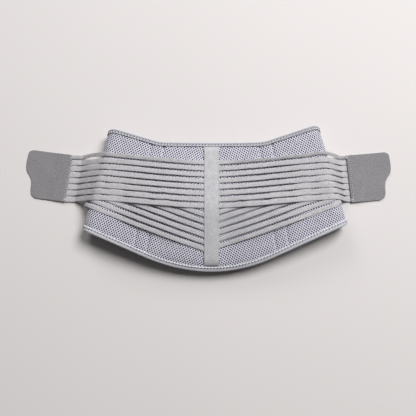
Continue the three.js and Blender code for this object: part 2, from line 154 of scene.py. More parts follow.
@dataclass(frozen=True)
class BeltShape:
    """Middle surface of the belt's wall: the back, the side folds and the front flaps.

    A place round a half is 0 to 1 on the back, 1 to 2 round the fold and 2 to 3 on the front flap.
    """

    wall: float = 5.0
    edge_wall: float = 2.8
    top_cover: float = 6.2
    bottom_cover: float = 9.3
    seam_gap: float = 0.3
    top_at_centre: float = 119.2
    top_bend_at: float = 97.0
    top_bend_blend: float = 12.0
    bottom_at_centre: float = -119.0
    crest: float = 44.0
    crest_round: float = 14.0
    droop_above: float = 0.145
    droop_below: float = 0.163
    dip: float = 3.5
    dip_reach: float = 26.0
    dip_most: float = 1.2
    fold_radius: float = 19.75
    front_top: float = 95.0
    front_bottom: float = -75.0
    front_taper: float = 150.0
    flap_reach: float = 60.0
    lift_from: float = 150.0
    lift_to: float = 80.0
    top_corner_round: float = 4.5
    bottom_corner_round: float = 1.5
    corner_rise: Span = (1.12, 1.5)
    corner_fall: Span = (2.0, 2.4)
    slope_step: float = 0.01
    near_seam: float = 0.02
    passes: int = 8

    @property
    def half(self) -> float:
        """Half the wall's thickness."""
        return self.wall / 2

    @property
    def fold_height(self) -> float:
        """Height of the folds' axis over the floor."""
        return self.half + self.fold_radius

    @property
    def bend_length(self) -> float:
        """Length of the cloth's outer face round a fold."""
        return math.pi * (self.fold_radius + self.half)

    def cover(self, edge: Edge) -> float:
        """Returns how deep the binding covers an edge."""
        return self.top_cover if edge is Edge.TOP else self.bottom_cover

    def fold_axis(self, side: BeltSide, y: Number) -> Number:
        """Returns how far out the fold's axis lies at height y."""
        return side.fold - self.fold_radius - side.lean * y

    def edge_line(self, side: BeltSide, edge: Edge, x: Array) -> Array:
        """Returns the height of the back's upper or lower edge.

        Args:
            side: The side of the belt.
            edge: Which edge.
            x: Distances from the centre.

        Returns:
            Heights y of the edge.
        """
        if edge is Edge.TOP:
            past = np.maximum(x - (self.top_bend_at - self.top_bend_blend), 0.0)
            bent = np.minimum(past, 2 * self.top_bend_blend)
            return self.top_at_centre + side.top_rise * (bent ** 2 / (4 * self.top_bend_blend) + past - bent)
        bowed = np.minimum(np.abs(x), side.bottom_rise * side.bottom_radius)
        rise = bowed ** 2 / (2 * side.bottom_radius) + side.bottom_rise * (np.abs(x) - bowed)
        return self.bottom_at_centre + rise

    def back_height(self, side: BeltSide, x: Array, y: Array) -> Array:
        """Returns the height of the back's middle surface, a low ridge that levels out towards the fold."""
        droop = np.where(y > 0, self.droop_above, self.droop_below)
        ridge = self.crest - droop * (np.hypot(y, self.crest_round) - self.crest_round)
        across = np.minimum(1.0, x / self.fold_axis(side, y))
        to_edge = y - self.edge_line(side, Edge.BOTTOM, x)
        dip = self.dip * np.clip(1 - to_edge / self.dip_reach, 0.0, self.dip_most) ** 2
        return lerp(self.fold_height + self.fold_radius, ridge - dip, (1 - across ** 2) ** 2)

    def point(self, side: BeltSide, around: Array, y: Array) -> Array:
        """Returns points of the middle surface at places round a half and heights y."""
        around, y = np.broadcast_arrays(np.asarray(around, float), np.asarray(y, float))
        axis = self.fold_axis(side, y)
        back_x = np.maximum(self.seam_gap / 2, around * axis)
        turn = np.clip(around - 1, 0.0, 1.0) * math.pi
        front_x = lerp(axis, -self.flap_reach, np.clip(around - 2, 0.0, 1.0))
        lift = side.flap_lift * (1 - smoothstep(front_x, self.lift_to, self.lift_from))
        fold_x = axis + self.fold_radius * np.sin(turn)
        fold_z = self.fold_height + self.fold_radius * np.cos(turn)
        back, fold = around <= 1, around <= 2
        x = np.where(back, back_x, np.where(fold, fold_x, front_x))
        z = np.where(back, self.back_height(side, back_x, y), np.where(fold, fold_z, self.half + lift))
        return np.stack([x, y, z], axis=-1)

    def edge(self, side: BeltSide, edge: Edge, around: Array) -> Array:
        """Returns the heights y at which the belt's wall ends, at places round a half."""
        around = np.asarray(around, float)
        level = self.front_top if edge is Edge.TOP else self.front_bottom
        y = np.full(around.shape, level)
        for _ in range(self.passes):
            y = self.edge_line(side, edge, self.point(side, np.minimum(around, 2.0), y)[..., 0])
        travelled = self.fold_axis(side, y) - self.point(side, around, y)[..., 0]
        y = np.where(around <= 2, y, lerp(y, level, smoothstep(travelled, 0.0, self.front_taper)))
        most = self.top_corner_round if edge is Edge.TOP else self.bottom_corner_round
        return y + edge.value * most * window(around, self.corner_rise, self.corner_fall)

    def axes(self, side: BeltSide, around: Array, y: Array) -> tuple[Array, Array, Array]:
        """Finds the surface's place and directions.

        Args:
            side: The side of the belt.
            around: Places round the half.
            y: Heights on the belt.

        Returns:
            Points, outward normals and directions across the belt.
        """
        around, y = np.asarray(around, float), np.asarray(y, float)
        step = self.slope_step
        before = np.maximum(self.near_seam, around - step)
        after = np.minimum(3.0, before + 2 * step)
        along = self.point(side, after, y) - self.point(side, before, y)
        across = self.point(side, around, y + step) - self.point(side, around, y - step)
        return self.point(side, around, y), unit(np.cross(along, across)), unit(across)

    def face(self, side: BeltSide, around: Array, y: Array, height: Number) -> Array:
        """Returns points of the part's frame at a height over the middle surface, outwards."""
        point, normal, _ = self.axes(side, around, y)
        return side.placed(point + normal * np.asarray(height, float)[..., None])

    def around_at(self, side: BeltSide, run: Array, y: Array) -> Array:
        """Returns the place round a half of cloth at a run from the centre, measured on the outer face."""
        axis = self.fold_axis(side, y)
        past = run - axis
        on_fold = 1 + past / self.bend_length
        on_front = 2 + (past - self.bend_length) / (axis + self.flap_reach)
        return np.where(past <= 0, run / axis, np.where(past <= self.bend_length, on_fold, on_front))

    def run_at(self, side: BeltSide, around: Array, y: Array) -> Array:
        """Returns the run of the cloth from the centre to a place round a half."""
        axis = self.fold_axis(side, y)
        past = np.clip(around - 1, 0.0, 1.0) * self.bend_length
        return np.minimum(around, 1.0) * axis + past + np.maximum(around - 2, 0.0) * (axis + self.flap_reach)

    def run_to_end(self, side: BeltSide, y: Number) -> Number:
        """Returns the run of the cloth from the centre seam to the end of the front flap."""
        return 2 * self.fold_axis(side, y) + self.bend_length + self.flap_reach

    def inset(self, side: BeltSide, edge: Edge, around: Array, y: Array) -> Array:
        """Returns the distance across the belt from one long edge."""
        return edge.value * (y - self.edge(side, edge, around))

    def from_edges(self, side: BeltSide, around: Array, y: Array) -> Array:
        """Returns the distance across the belt to the nearer long edge."""
        return np.minimum(self.inset(side, Edge.TOP, around, y), self.inset(side, Edge.BOTTOM, around, y))


@dataclass(frozen=True)
class StrapBed:
    """Surface that the straps lie on: the panel, the fold, a straight run down and a bend onto the floor."""

    belt: BeltShape
    landing_radius: float
    landing_level: float = 1.0
    loose: float = 0.0
    shortest_run: float = 38.0
    run_share: float = 0.62
    leave_range: Span = (25.0, 75.0)
    halvings: int = 30
    slope_step: float = 0.01

    def arc(self, side: BeltSide) -> tuple[float, float]:
        """Returns the radius and the axis height of the straps' bend over the fold."""
        slack = self.loose * side.lower_slack
        return self.belt.fold_radius + self.belt.half + slack, self.belt.fold_height - slack

    def descent(self, side: BeltSide, angle: float) -> tuple[float, float, float, float]:
        """Works out the way down from the fold.

        Args:
            side: The side of the belt.
            angle: Angle from level at which a strap leaves the fold.

        Returns:
            Where it comes off the fold, its height there, where its straight run ends and where it lies
            level, as distances past the fold's axis.
        """
        radius, axis_height = self.arc(side)
        off = radius * math.sin(angle)
        off_height = axis_height + radius * math.cos(angle)
        land_height = self.landing_level + self.landing_radius * (1 - math.cos(angle))
        land = off + (off_height - land_height) / math.tan(angle)
        return off, off_height, land, land + self.landing_radius * math.sin(angle)

    def leave_for(self, side: BeltSide, y: float) -> float:
        """Returns the angle in degrees at which a strap leaves the fold to lie level before the tab."""
        reach = lerp(self.shortest_run, side.tab_edge(y) - self.belt.fold_axis(side, y), self.run_share)
        least, most = self.leave_range
        for _ in range(self.halvings):
            angle = (least + most) / 2
            if self.descent(side, math.radians(angle))[3] > reach:
                least = angle
            else:
                most = angle
        return most

    def height(self, side: BeltSide, leave: float, x: Array, y: Array) -> Array:
        """Returns the surface's height.

        Args:
            side: The side of the belt.
            leave: Angle from level, in degrees, at which the straps leave the fold.
            x: Distances from the centre.
            y: Heights on the belt.

        Returns:
            Heights z.
        """
        belt = self.belt
        angle = math.radians(leave)
        radius, axis_height = self.arc(side)
        past = x - belt.fold_axis(side, y)
        off, off_height, land, level = self.descent(side, angle)
        on_panel = belt.back_height(side, x, y) + belt.half
        on_fold = axis_height + np.sqrt(np.maximum(radius ** 2 - past ** 2, 0.0))
        on_run = off_height - math.tan(angle) * (past - off)
        to_level = np.clip(level - past, 0.0, self.landing_radius)
        landed = self.landing_level + self.landing_radius - np.sqrt(self.landing_radius ** 2 - to_level ** 2)
        off_fold = np.where(past <= land, on_run, landed)
        return np.where(past <= 0, on_panel, np.where(past <= off, on_fold, off_fold))

    def over(self, side: BeltSide, leave: float, x: Array, y: Array, lift: Number) -> Array:
        """Returns points at a height over the surface, measured square to it, x still counted outwards."""
        step = self.slope_step
        fall_x = self.height(side, leave, x - step, y) - self.height(side, leave, x + step, y)
        fall_y = self.height(side, leave, x, y - step) - self.height(side, leave, x, y + step)
        normal = unit(np.stack([fall_x, fall_y, np.full(fall_x.shape, 2 * step)], axis=-1))
        place = np.stack([x, y, self.height(side, leave, x, y)], axis=-1)
        return place + normal * np.asarray(lift, float)[..., None]


BELT = BeltShape()
BED = StrapBed(BELT, landing_radius=6.0)
LOOSE_BED = StrapBed(BELT, landing_radius=6.0, loose=1.0)
UPPER_BED = StrapBed(BELT, landing_radius=13.0)


class NodeGraph:
    """Adds nodes to a node tree and joins them."""

    def __init__(self, tree: bpy.types.NodeTree) -> None:
        """Keeps the tree and empties it."""
        self.tree = tree
        tree.nodes.clear()

    def add(self, kind: str, inputs: dict | None = None, **settings: object) -> bpy.types.Node:
        """Adds one node.

        Args:
            kind: The node's type name.
            inputs: Values or output sockets, by input name or number.
            **settings: Properties of the node itself.

        Returns:
            The node.
        """
        node = self.tree.nodes.new(kind)
        for name, value in settings.items():
            setattr(node, name, value)
        for key, value in (inputs or {}).items():
            if isinstance(value, bpy.types.NodeSocket):
                self.tree.links.new(value, node.inputs[key])
            else:
                node.inputs[key].default_value = value
        return node

    def out(self, kind: str, inputs: dict | None = None, **settings: object) -> bpy.types.NodeSocket:
        """Adds one node and returns its first output."""
        return self.add(kind, inputs, **settings).outputs[0]

    def math(self, operation: str, a: object, b: object = 0.0) -> bpy.types.NodeSocket:
        """Adds a Math node and returns its value."""
        return self.out("ShaderNodeMath", {0: a, 1: b}, operation=operation)

    def vector(self, operation: str, a: object, b: object) -> bpy.types.NodeSocket:
        """Adds a Vector Math node and returns its vector."""
        second = "Scale" if operation == "SCALE" else 1
        return self.out("ShaderNodeVectorMath", {0: a, second: b}, operation=operation)

    def noise(self, place: object, scale: float, detail: float) -> bpy.types.NodeSocket:
        """Adds a noise texture and returns its value."""
        return self.out("ShaderNodeTexNoise", {"Vector": place, "Scale": scale, "Detail": detail})

    def about_zero(self, value: object, reach: float) -> bpy.types.NodeSocket:
        """Returns a noise value turned to plus or minus a reach."""
        return self.math("MULTIPLY", self.math("SUBTRACT", value, 0.5), 4 * reach)

    def weave(self) -> tuple[bpy.types.NodeSocket, bpy.types.NodeSocket]:
        """Returns the place on the flat cloth: along it and across it, in millimetres."""
        place = self.out("ShaderNodeUVMap", uv_map="weave")
        split = self.add("ShaderNodeSeparateXYZ", {0: place}).outputs
        return split["X"], split["Y"]

    def surface(self, colour: tuple[float, float, float], shade: object, inputs: dict) -> None:
        """Ends a material in one colour, lighter and darker by a shade, with the shader's other inputs."""
        tint = self.vector("SCALE", colour, shade)
        shader = self.add("ShaderNodeBsdfPrincipled", {"Base Color": tint, **inputs})
        self.add("ShaderNodeOutputMaterial", {"Surface": shader.outputs[0]})


def new_material(name: str) -> tuple[bpy.types.Material, NodeGraph]:
    """Returns a new material and its nodes."""
    made = bpy.data.materials.new(name)
    made.use_nodes = True
    return made, NodeGraph(made.node_tree)


class Pattern(Enum):
    """Fine structure of a cloth's surface."""

    YARN = "yarn"
    RIB = "rib"
    FELT = "felt"
    BRUSHED = "brushed"
    PLAIN = "plain"


@dataclass(frozen=True)
class Finish:
    """A cloth finish, with sizes in metres and its colour in linear light."""

    name: str
    colour: tuple[float, float, float]
    pattern: Pattern
    slot: str
    roughness: float = 0.9
    sheen: float = 0.05
    speckle: float = 0.06
    speckle_size: float = 0.0016
    cloud: float = 0.04
    cloud_size: float = 0.035
    relief: float = 0.00012
    streak: float = 0.05

    RIB_PITCH = (1.2, 0.8)
    RIB_RELIEF_SHADE = 0.03
    STREAK_DRAWN = 0.16
    STREAK_SCALE = 0.8
    FIBRE_SCALE = 700.0
    NAP_SCALE = 1100.0
    NAP_DRAWN = (1.0, 0.3, 1.0)
    PLY_SLANT = 1.7
    PLY_PITCH = 1.3
    PLY_RELIEF_SHADE = 0.04
    PLY_RELIEF = 0.6

    def material(self) -> bpy.types.Material:
        """Returns the finish as a material, made once."""
        found = bpy.data.materials.get(self.name)
        if found is not None:
            return found
        made, graph = new_material(self.name)
        place = graph.add("ShaderNodeTexCoord").outputs["Object"]
        grain = graph.noise(place, 1 / self.speckle_size, 3.0)
        cloud = graph.noise(place, 1 / self.cloud_size, 2.0)
        relief, tone = self._structure(graph, place, grain)
        shade = graph.math("ADD", graph.about_zero(grain, self.speckle), 1.0)
        shade = graph.math("ADD", shade, graph.about_zero(cloud, self.cloud))
        shade = graph.math("MULTIPLY", shade, tone)
        bump = graph.add("ShaderNodeBump", {"Height": relief, "Strength": 1.0, "Distance": self.relief})
        graph.surface(self.colour, shade, {
            "Roughness": self.roughness, "Normal": bump.outputs[0], "Specular IOR Level": 0.2,
            "Sheen Weight": self.sheen, "Sheen Roughness": 0.5})
        return made

    def _structure(
        self, graph: NodeGraph, place: bpy.types.NodeSocket, grain: bpy.types.NodeSocket,
    ) -> tuple[bpy.types.NodeSocket, object]:
        """Builds the relief of the cloth.

        Args:
            graph: The material's nodes.
            place: Object coordinates.
            grain: The fine noise.

        Returns:
            The height of the relief, and the tone that goes with it, which on ribs and yarn holds painted
            shade following the relief.
        """
        if self.pattern is Pattern.RIB:
            along, across = graph.weave()
            lengthwise, crosswise = (
                graph.math("SINE", graph.math("MULTIPLY", way, 2 * math.pi / pitch))
                for way, pitch in zip((along, across), self.RIB_PITCH))
            woven = graph.math("MULTIPLY", crosswise, lengthwise)
            drawn = graph.out("ShaderNodeCombineXYZ", {
                "X": graph.math("MULTIPLY", along, self.STREAK_DRAWN), "Y": across})
            streak = graph.about_zero(graph.noise(drawn, self.STREAK_SCALE, 3.0), self.streak)
            # The weave's colour follows its relief, lighter on the crowns and darker in the grooves: painted
            # shade.
            rib_shade = graph.math("MULTIPLY", woven, self.RIB_RELIEF_SHADE)
            tone = graph.math("ADD", rib_shade, graph.math("ADD", streak, 1.0))
            return graph.math("ADD", woven, grain), tone
        if self.pattern is Pattern.FELT:
            fibre = graph.add(
                "ShaderNodeTexVoronoi", {"Vector": place, "Scale": self.FIBRE_SCALE}, feature="F1")
            return graph.math("ADD", fibre.outputs["Distance"], grain), 1.0
        if self.pattern is Pattern.BRUSHED:
            drawn = graph.out("ShaderNodeMapping", {"Vector": place, "Scale": self.NAP_DRAWN})
            return graph.math("ADD", graph.noise(drawn, self.NAP_SCALE, 4.0), grain), 1.0
        if self.pattern is Pattern.YARN:
            along, across = graph.weave()
            slanted = graph.math("ADD", graph.math("MULTIPLY", across, self.PLY_SLANT), along)
            ply = graph.math("SINE", graph.math("MULTIPLY", slanted, 2 * math.pi / self.PLY_PITCH))
            # The plies' colour follows their relief, lighter on the crowns and darker in the grooves: painted
            # shade.
            tone = graph.math("ADD", graph.math("MULTIPLY", ply, self.PLY_RELIEF_SHADE), 1.0)
            return graph.math("ADD", graph.math("MULTIPLY", ply, self.PLY_RELIEF), grain), tone
        return grain, 1.0


KNIT = Finish("knit_yarn", (0.84, 0.825, 0.935), Pattern.YARN, "knit_mesh")
# Near-black for the core seen in the eyelets and on the eyelets' walls: the spacer's own dark grey, darkened
# further into painted shade for the holes.
SPACER_HOLE_SHADE = Finish("knit_spacer", (0.03, 0.029, 0.038), Pattern.PLAIN, "knit_mesh", sheen=0.0)
# Darker copy of the knit's yarn for the bridges sunk in the furrows between holes: painted shade.
FURROW_SHADE_YARN = Finish("knit_bridge", (0.78, 0.765, 0.87), Pattern.YARN, "knit_mesh")
LINING = Finish("knit_lining", (0.40, 0.39, 0.45), Pattern.YARN, "knit_mesh")
BINDING = Finish("folded_tape", (0.62, 0.625, 0.675), Pattern.RIB, "binding_tape")
TOP_BINDING = Finish("folded_tape_top", (0.52, 0.525, 0.58), Pattern.RIB, "binding_tape")
# Near-black beads sunk in the binding tape: painted shade in the needle holes between the raised stitches.
PIT_SHADE_BEADS = Finish("sunk_thread", (0.07, 0.07, 0.085), Pattern.PLAIN, "binding_tape")
THREAD = Finish("sewing_thread", (0.85, 0.85, 0.89), Pattern.PLAIN, "binding_tape", roughness=0.7)
TAPE = Finish(
    "brushed_tape", (0.55, 0.55, 0.57), Pattern.BRUSHED, "centre_tape",
    speckle=0.14, speckle_size=0.0032, cloud=0.07, cloud_size=0.014)
ELASTIC = Finish(
    "woven_elastic", (0.60, 0.585, 0.61), Pattern.RIB, "strap_elastic",
    speckle=0.16, speckle_size=0.0028, streak=0.14)
FELT = Finish(
    "grey_felt", (0.27, 0.262, 0.272), Pattern.FELT, "tab_felt",
    speckle=0.22, speckle_size=0.0026, roughness=0.95)
STAY_THREAD = Finish("stay_thread", (0.80, 0.785, 0.885), Pattern.PLAIN, "knit_mesh", roughness=0.8)
GREY_THREAD = Finish("tab_thread", (0.66, 0.65, 0.66), Pattern.PLAIN, "tab_felt", roughness=0.7)
# Near-black beads on the pull tabs: a painted shadow along the felt's sewn edge and painted shade in the
# stitch pits.
TAB_SHADE_BEADS = Finish("tab_seam", (0.075, 0.072, 0.078), Pattern.PLAIN, "tab_felt")
HOOKS = Finish("hook_cloth", (0.18, 0.18, 0.19), Pattern.FELT, "hook_patch")


@dataclass
class MeshParts:
    """Points in millimetres and faces gathered into one mesh, with a finish for each group of faces."""

    points: list[Array]
    faces: Faces
    finishes: list[int]
    weave: list[Array]

    @classmethod
    def empty(cls) -> "MeshParts":
        """Returns a store with nothing in it."""
        return cls([], [], [], [])

    def count(self) -> int:
        """Returns the number of points so far."""
        return sum(len(p) for p in self.points)

    def add(
        self, points: Array, faces: Sequence[Sequence[int]], finish: int = 0, weave: Array | None = None,
    ) -> int:
        """Adds points and the faces between them.

        Args:
            points: The new points.
            faces: Corners of each face, counted from the first new point.
            finish: Number of the faces' finish.
            weave: Place of each point on the flat cloth, in millimetres.

        Returns:
            Number of the first new point.
        """
        start = self.count()
        flat = np.asarray(points, float).reshape(-1, 3)
        self.points.append(flat)
        self.weave.append(np.zeros((len(flat), 2)) if weave is None else np.reshape(weave, (-1, 2)))
        self.join(start, faces, finish)
        return start

    def join(self, start: int, faces: Sequence[Sequence[int]], finish: int) -> None:
        """Adds faces between points that are counted from a first one."""
        self.faces.extend(tuple(start + i for i in face) for face in faces)
        self.finishes.extend([finish] * len(faces))

    def piece(self, name: str, finishes: Sequence[Finish]) -> bpy.types.Object:
        """Returns the gathered mesh as a new object, in metres."""
        mesh = bpy.data.meshes.new(name)
        mesh.from_pydata((np.concatenate(self.points) * MM).tolist(), [], self.faces)
        mesh.polygons.foreach_set("material_index", np.array(self.finishes, np.int32))
        mesh.polygons.foreach_set("use_smooth", np.ones(len(mesh.polygons), bool))
        corners = np.zeros(len(mesh.loops), np.int32)
        mesh.loops.foreach_get("vertex_index", corners)
        layer = mesh.uv_layers.new(name="weave")
        layer.data.foreach_set("uv", np.concatenate(self.weave)[corners].astype(np.float32).ravel())
        for finish in finishes:
            mesh.materials.append(finish.material())
        mesh.update()
        return linked(name, mesh)


def loft_faces(rings: int, ring: int, closed: bool = True, turned: bool = False) -> Faces:
    """Returns the quads between rings of points.

    Args:
        rings: Number of rings.
        ring: Points in each.
        closed: Whether a ring's last point joins its first.
        turned: Whether the faces are turned over.

    Returns:
        Corner numbers of each quad.
    """
    faces: Faces = []
    for i in range(rings - 1):
        for j in range(ring if closed else ring - 1):
            a, b = i * ring + j, i * ring + (j + 1) % ring
            quad = (a, b, b + ring, a + ring)
            faces.append(quad[::-1] if turned else quad)
    return faces


def loft_caps(rings: int, ring: int, turned: bool = False) -> Faces:
    """Returns the two end faces of a closed loft."""
    first = tuple(range(ring))[::-1]
    last = tuple((rings - 1) * ring + j for j in range(ring))
    return [first[::-1], last[::-1]] if turned else [first, last]


def lofted(
    name: str, finish: Finish, rings: Array, turned: bool = False, weave: Array | None = None,
) -> bpy.types.Object:
    """Makes a closed piece through rings of points.

    Args:
        name: Name of the piece.
        finish: Its finish.
        rings: Points by ring and place in the ring.
        turned: Whether its faces are turned over.
        weave: Place of each point on the flat cloth.

    Returns:
        The piece.
    """
    count, ring = rings.shape[:2]
    parts = MeshParts.empty()
    parts.add(rings, loft_faces(count, ring, True, turned) + loft_caps(count, ring, turned), 0, weave)
    return parts.piece(name, [finish])


def mounted(piece: bpy.types.Object, finish: Finish, node: str | None = None) -> bpy.types.Object:
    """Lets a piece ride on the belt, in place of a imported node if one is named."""
    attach(piece, BODY)
    if node is not None:
        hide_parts(node)
    return piece


def baked(obj: bpy.types.Object) -> bpy.types.Object:
    """Turns an object's live modifiers into its own mesh and returns it."""
    bpy.context.view_layer.update()
    graph = bpy.context.evaluated_depsgraph_get()
    mesh = bpy.data.meshes.new_from_object(obj.evaluated_get(graph), depsgraph=graph)
    mesh.name = obj.name
    obj.modifiers.clear()
    obj.data = mesh
    return obj


def vertex_points(mesh: bpy.types.Mesh) -> Array:
    """Returns a mesh's points as rows of x, y and z."""
    flat = np.zeros(len(mesh.vertices) * 3)
    mesh.vertices.foreach_get("co", flat)
    return flat.reshape(-1, 3)


class GeometryTree:
    """A Geometry Nodes tree with named inputs, which works on a guide object."""

    def __init__(self, name: str, inputs: dict[str, str]) -> None:
        """Makes the tree's sockets.

        Args:
            name: Name of the tree.
            inputs: Socket type of each named input.
        """
        self.tree = bpy.data.node_groups.new(name, "GeometryNodeTree")
        face = self.tree.interface
        face.new_socket("Geometry", in_out="INPUT", socket_type="NodeSocketGeometry")
        self.sockets = {
            n: face.new_socket(n, in_out="INPUT", socket_type=t).identifier for n, t in inputs.items()}
        face.new_socket("Geometry", in_out="OUTPUT", socket_type="NodeSocketGeometry")
        self.graph = NodeGraph(self.tree)
        self.given = self.graph.add("NodeGroupInput").outputs

    def close(self, geometry: bpy.types.NodeSocket) -> None:
        """Ends the tree in realised instances with their material."""
        real = self.graph.out("GeometryNodeRealizeInstances", {"Geometry": geometry})
        smooth = self.graph.out("GeometryNodeSetShadeSmooth", {"Geometry": real})
        dressed = self.graph.add(
            "GeometryNodeSetMaterial", {"Geometry": smooth, "Material": self.given["Material"]})
        self.graph.add("NodeGroupOutput", {"Geometry": dressed.outputs[0]})

    def apply(self, guide: bpy.types.Object, values: dict[str, object]) -> bpy.types.Object:
        """Runs the tree on a guide object and returns the object with the result as its mesh."""
        modifier = guide.modifiers.new(self.tree.name, "NODES")
        modifier.node_group = self.tree
        for name, value in values.items():
            modifier[self.sockets[name]] = value
        return baked(guide)


class StitchTree(GeometryTree):
    """Stitches that follow a guide line, each a small bead set along the line or leaning to it; the
    near-black rows are painted shade.
    """

    LENGTHS = ("Pitch", "Length", "Thickness", "Along", "Beside")
    TURNS = ("Lean", "Zigzag", "Jitter")
    BEAD = {"Segments": 6, "Rings": 4, "Radius": 0.5}

    def __init__(self) -> None:
        """Builds the nodes."""
        super().__init__("stitch_row", {
            **dict.fromkeys(self.LENGTHS + self.TURNS, "NodeSocketFloat"),
            "Seed": "NodeSocketInt", "Material": "NodeSocketMaterial"})
        g, given = self.graph, self.given
        line = g.out("GeometryNodeMeshToCurve", {"Mesh": given["Geometry"]})
        spots = g.out("GeometryNodeResampleCurve", {"Curve": line, "Length": given["Pitch"]}, mode="LENGTH")
        bead = g.out("GeometryNodeMeshUVSphere", self.BEAD)
        size = g.out("ShaderNodeCombineXYZ", {
            "X": given["Length"], "Y": given["Thickness"], "Z": given["Thickness"]})
        up = g.out("GeometryNodeInputNamedAttribute", {"Name": "up"}, data_type="FLOAT_VECTOR")
        tangent = g.out("GeometryNodeInputTangent")
        ahead = g.vector("SCALE", tangent, given["Along"])
        aside = g.vector("SCALE", g.vector("CROSS_PRODUCT", up, tangent), given["Beside"])
        laid = g.add("FunctionNodeAxesToRotation", {0: up, 1: tangent}, primary_axis="Z", secondary_axis="X")
        odd = g.math("MODULO", g.out("GeometryNodeInputIndex"), 2.0)
        swing = g.math("SUBTRACT", 1.0, g.math("MULTIPLY", g.math("MULTIPLY", odd, 2.0), given["Zigzag"]))
        loose = g.add(
            "FunctionNodeRandomValue", {2: -1.0, 3: 1.0, "Seed": given["Seed"]}, data_type="FLOAT").outputs[1]
        leaning = g.math("MULTIPLY", given["Lean"], swing)
        lean = g.math("ADD", leaning, g.math("MULTIPLY", loose, given["Jitter"]))
        turn = g.out("FunctionNodeAxisAngleToRotation", {"Axis": (0.0, 0.0, 1.0), "Angle": lean})
        turned = g.out("FunctionNodeRotateRotation", {
            0: laid.outputs[0], 1: turn}, rotation_space="LOCAL")
        moved = g.vector("ADD", ahead, aside)
        set_out = g.out("GeometryNodeSetPosition", {"Geometry": spots, "Offset": moved})
        self.close(g.out("GeometryNodeInstanceOnPoints", {
            "Points": set_out, "Instance": bead, "Rotation": turned, "Scale": size}))


class KnitTree(GeometryTree):
    """Perforated knit in the flat: one eyelet set on each point of a lattice, joined into one cloth."""

    LOOSE = ((-1.0, -1.0, -0.4), (1.0, 1.0, 0.4))

    def __init__(self) -> None:
        """Builds the nodes."""
        super().__init__("perforated_knit", {
            "Eyelet": "NodeSocketObject", "Join Distance": "NodeSocketFloat", "Jitter": "NodeSocketFloat",
            "Seed": "NodeSocketInt", "Material": "NodeSocketMaterial"})
        g, given = self.graph, self.given
        eyelet = g.add("GeometryNodeObjectInfo", {"Object": given["Eyelet"]}).outputs["Geometry"]
        set_out = g.out("GeometryNodeInstanceOnPoints", {"Points": given["Geometry"], "Instance": eyelet})
        real = g.out("GeometryNodeRealizeInstances", {"Geometry": set_out})
        joined = g.out("GeometryNodeMergeByDistance", {"Geometry": real, "Distance": given["Join Distance"]})
        low, high = (g.vector("SCALE", end, given["Jitter"]) for end in self.LOOSE)
        loose = g.out("FunctionNodeRandomValue", {
            0: low, 1: high, "Seed": given["Seed"]}, data_type="FLOAT_VECTOR")
        self.close(g.out("GeometryNodeSetPosition", {"Geometry": joined, "Offset": loose}))


@dataclass(frozen=True)
class Seam:
    """A sewn line over the back, given by its distance from the centre at the top and its slant."""

    at_top: float
    slant: float = 0.153
    top_level: float = 112.0

    def x(self, y: Number) -> Number:
        """Returns the seam's distance from the centre at height y."""
        return self.at_top + self.slant * (self.top_level - y)


STAY_SEAMS = (Seam(89.0), Seam(113.0))


@dataclass
class PadSwell:
    """How far one half's padding swells between its sewn lines: its flat cut as cloth under pressure."""

    side: BeltSide
    step: float = 5.0
    reach: float = 290.0
    low: float = -130.0
    high: float = 180.0
    seam_hold: float = 14.0
    hold_from: float = 1.7
    hold_past: float = 1.0
    hold_width: float = 2.75
    last_cell: float = 1.001
    frames: int = 20
    pressure: float = 4.0
    most: float = 1.0

    def __post_init__(self) -> None:
        """Runs the simulation once and keeps the heights."""
        self.run = np.arange(0.0, self.reach, self.step)
        self.y = np.arange(self.low, self.high, self.step)
        self.heights = self.simulated()

    def sewn(self, run: Array, y: Array) -> Array:
        """Returns which places of the flat cut are held by a seam, a binding or the centre tape."""
        around = BELT.around_at(self.side, run, y)
        held = (run < self.seam_hold) | (around > self.hold_from)
        for edge in Edge:
            held |= BELT.inset(self.side, edge, around, y) < BELT.cover(edge) + self.hold_past
        for seam in STAY_SEAMS:
            held |= np.abs(run - seam.x(y)) < self.hold_width
        return held

    def simulated(self) -> Array:
        """Blows up the cloth and returns how far each point of the cut has risen, in millimetres."""
        run, y = (grid.ravel() for grid in np.meshgrid(self.run, self.y, indexing="ij"))
        mesh = bpy.data.meshes.new("swell")
        flat = np.column_stack([run, y, np.zeros_like(run)]) * MM
        mesh.from_pydata(flat.tolist(), [], loft_faces(len(self.run), len(self.y), False, True))
        cloth = linked("swell_" + self.side.name, mesh)
        group = cloth.vertex_groups.new(name="sewn")
        group.add(np.flatnonzero(self.sewn(run, y)).tolist(), 1.0, "REPLACE")
        modifier = cloth.modifiers.new("swell", "CLOTH")
        rule = modifier.settings
        rule.vertex_group_mass = group.name
        rule.use_pressure = True
        rule.uniform_pressure_force = self.pressure
        rule.effector_weights.gravity = 0.0
        modifier.point_cache.frame_start, modifier.point_cache.frame_end = 1, self.frames
        for number in range(1, self.frames + 1):
            bpy.context.scene.frame_set(number)
        risen = vertex_points(baked(cloth).data)[:, 2] / MM
        bpy.context.scene.frame_set(1)
        bpy.data.objects.remove(cloth)
        LOG.info("swell_%s: %.2f mm at most before the cap", self.side.name, np.abs(risen).max())
        return (self.most * np.tanh(np.abs(risen) / self.most)).reshape(len(self.run), len(self.y))

    def cell(self, grid: Array, at: Array) -> tuple[Array, Array]:
        """Returns the numbers of the grid's cells that hold some places, and their shares of the cells."""
        place = np.clip((at - grid[0]) / self.step, 0, len(grid) - self.last_cell)
        number = place.astype(int)
        return number, place - number

    def at(self, run: Array, y: Array) -> Array:
        """Returns the rise at places of the flat cut."""
        (a, along), (b, across) = self.cell(self.run, run), self.cell(self.y, y)
        low, high = (lerp(self.heights[i, b], self.heights[i, b + 1], across) for i in (a, a + 1))
        return lerp(low, high, along)


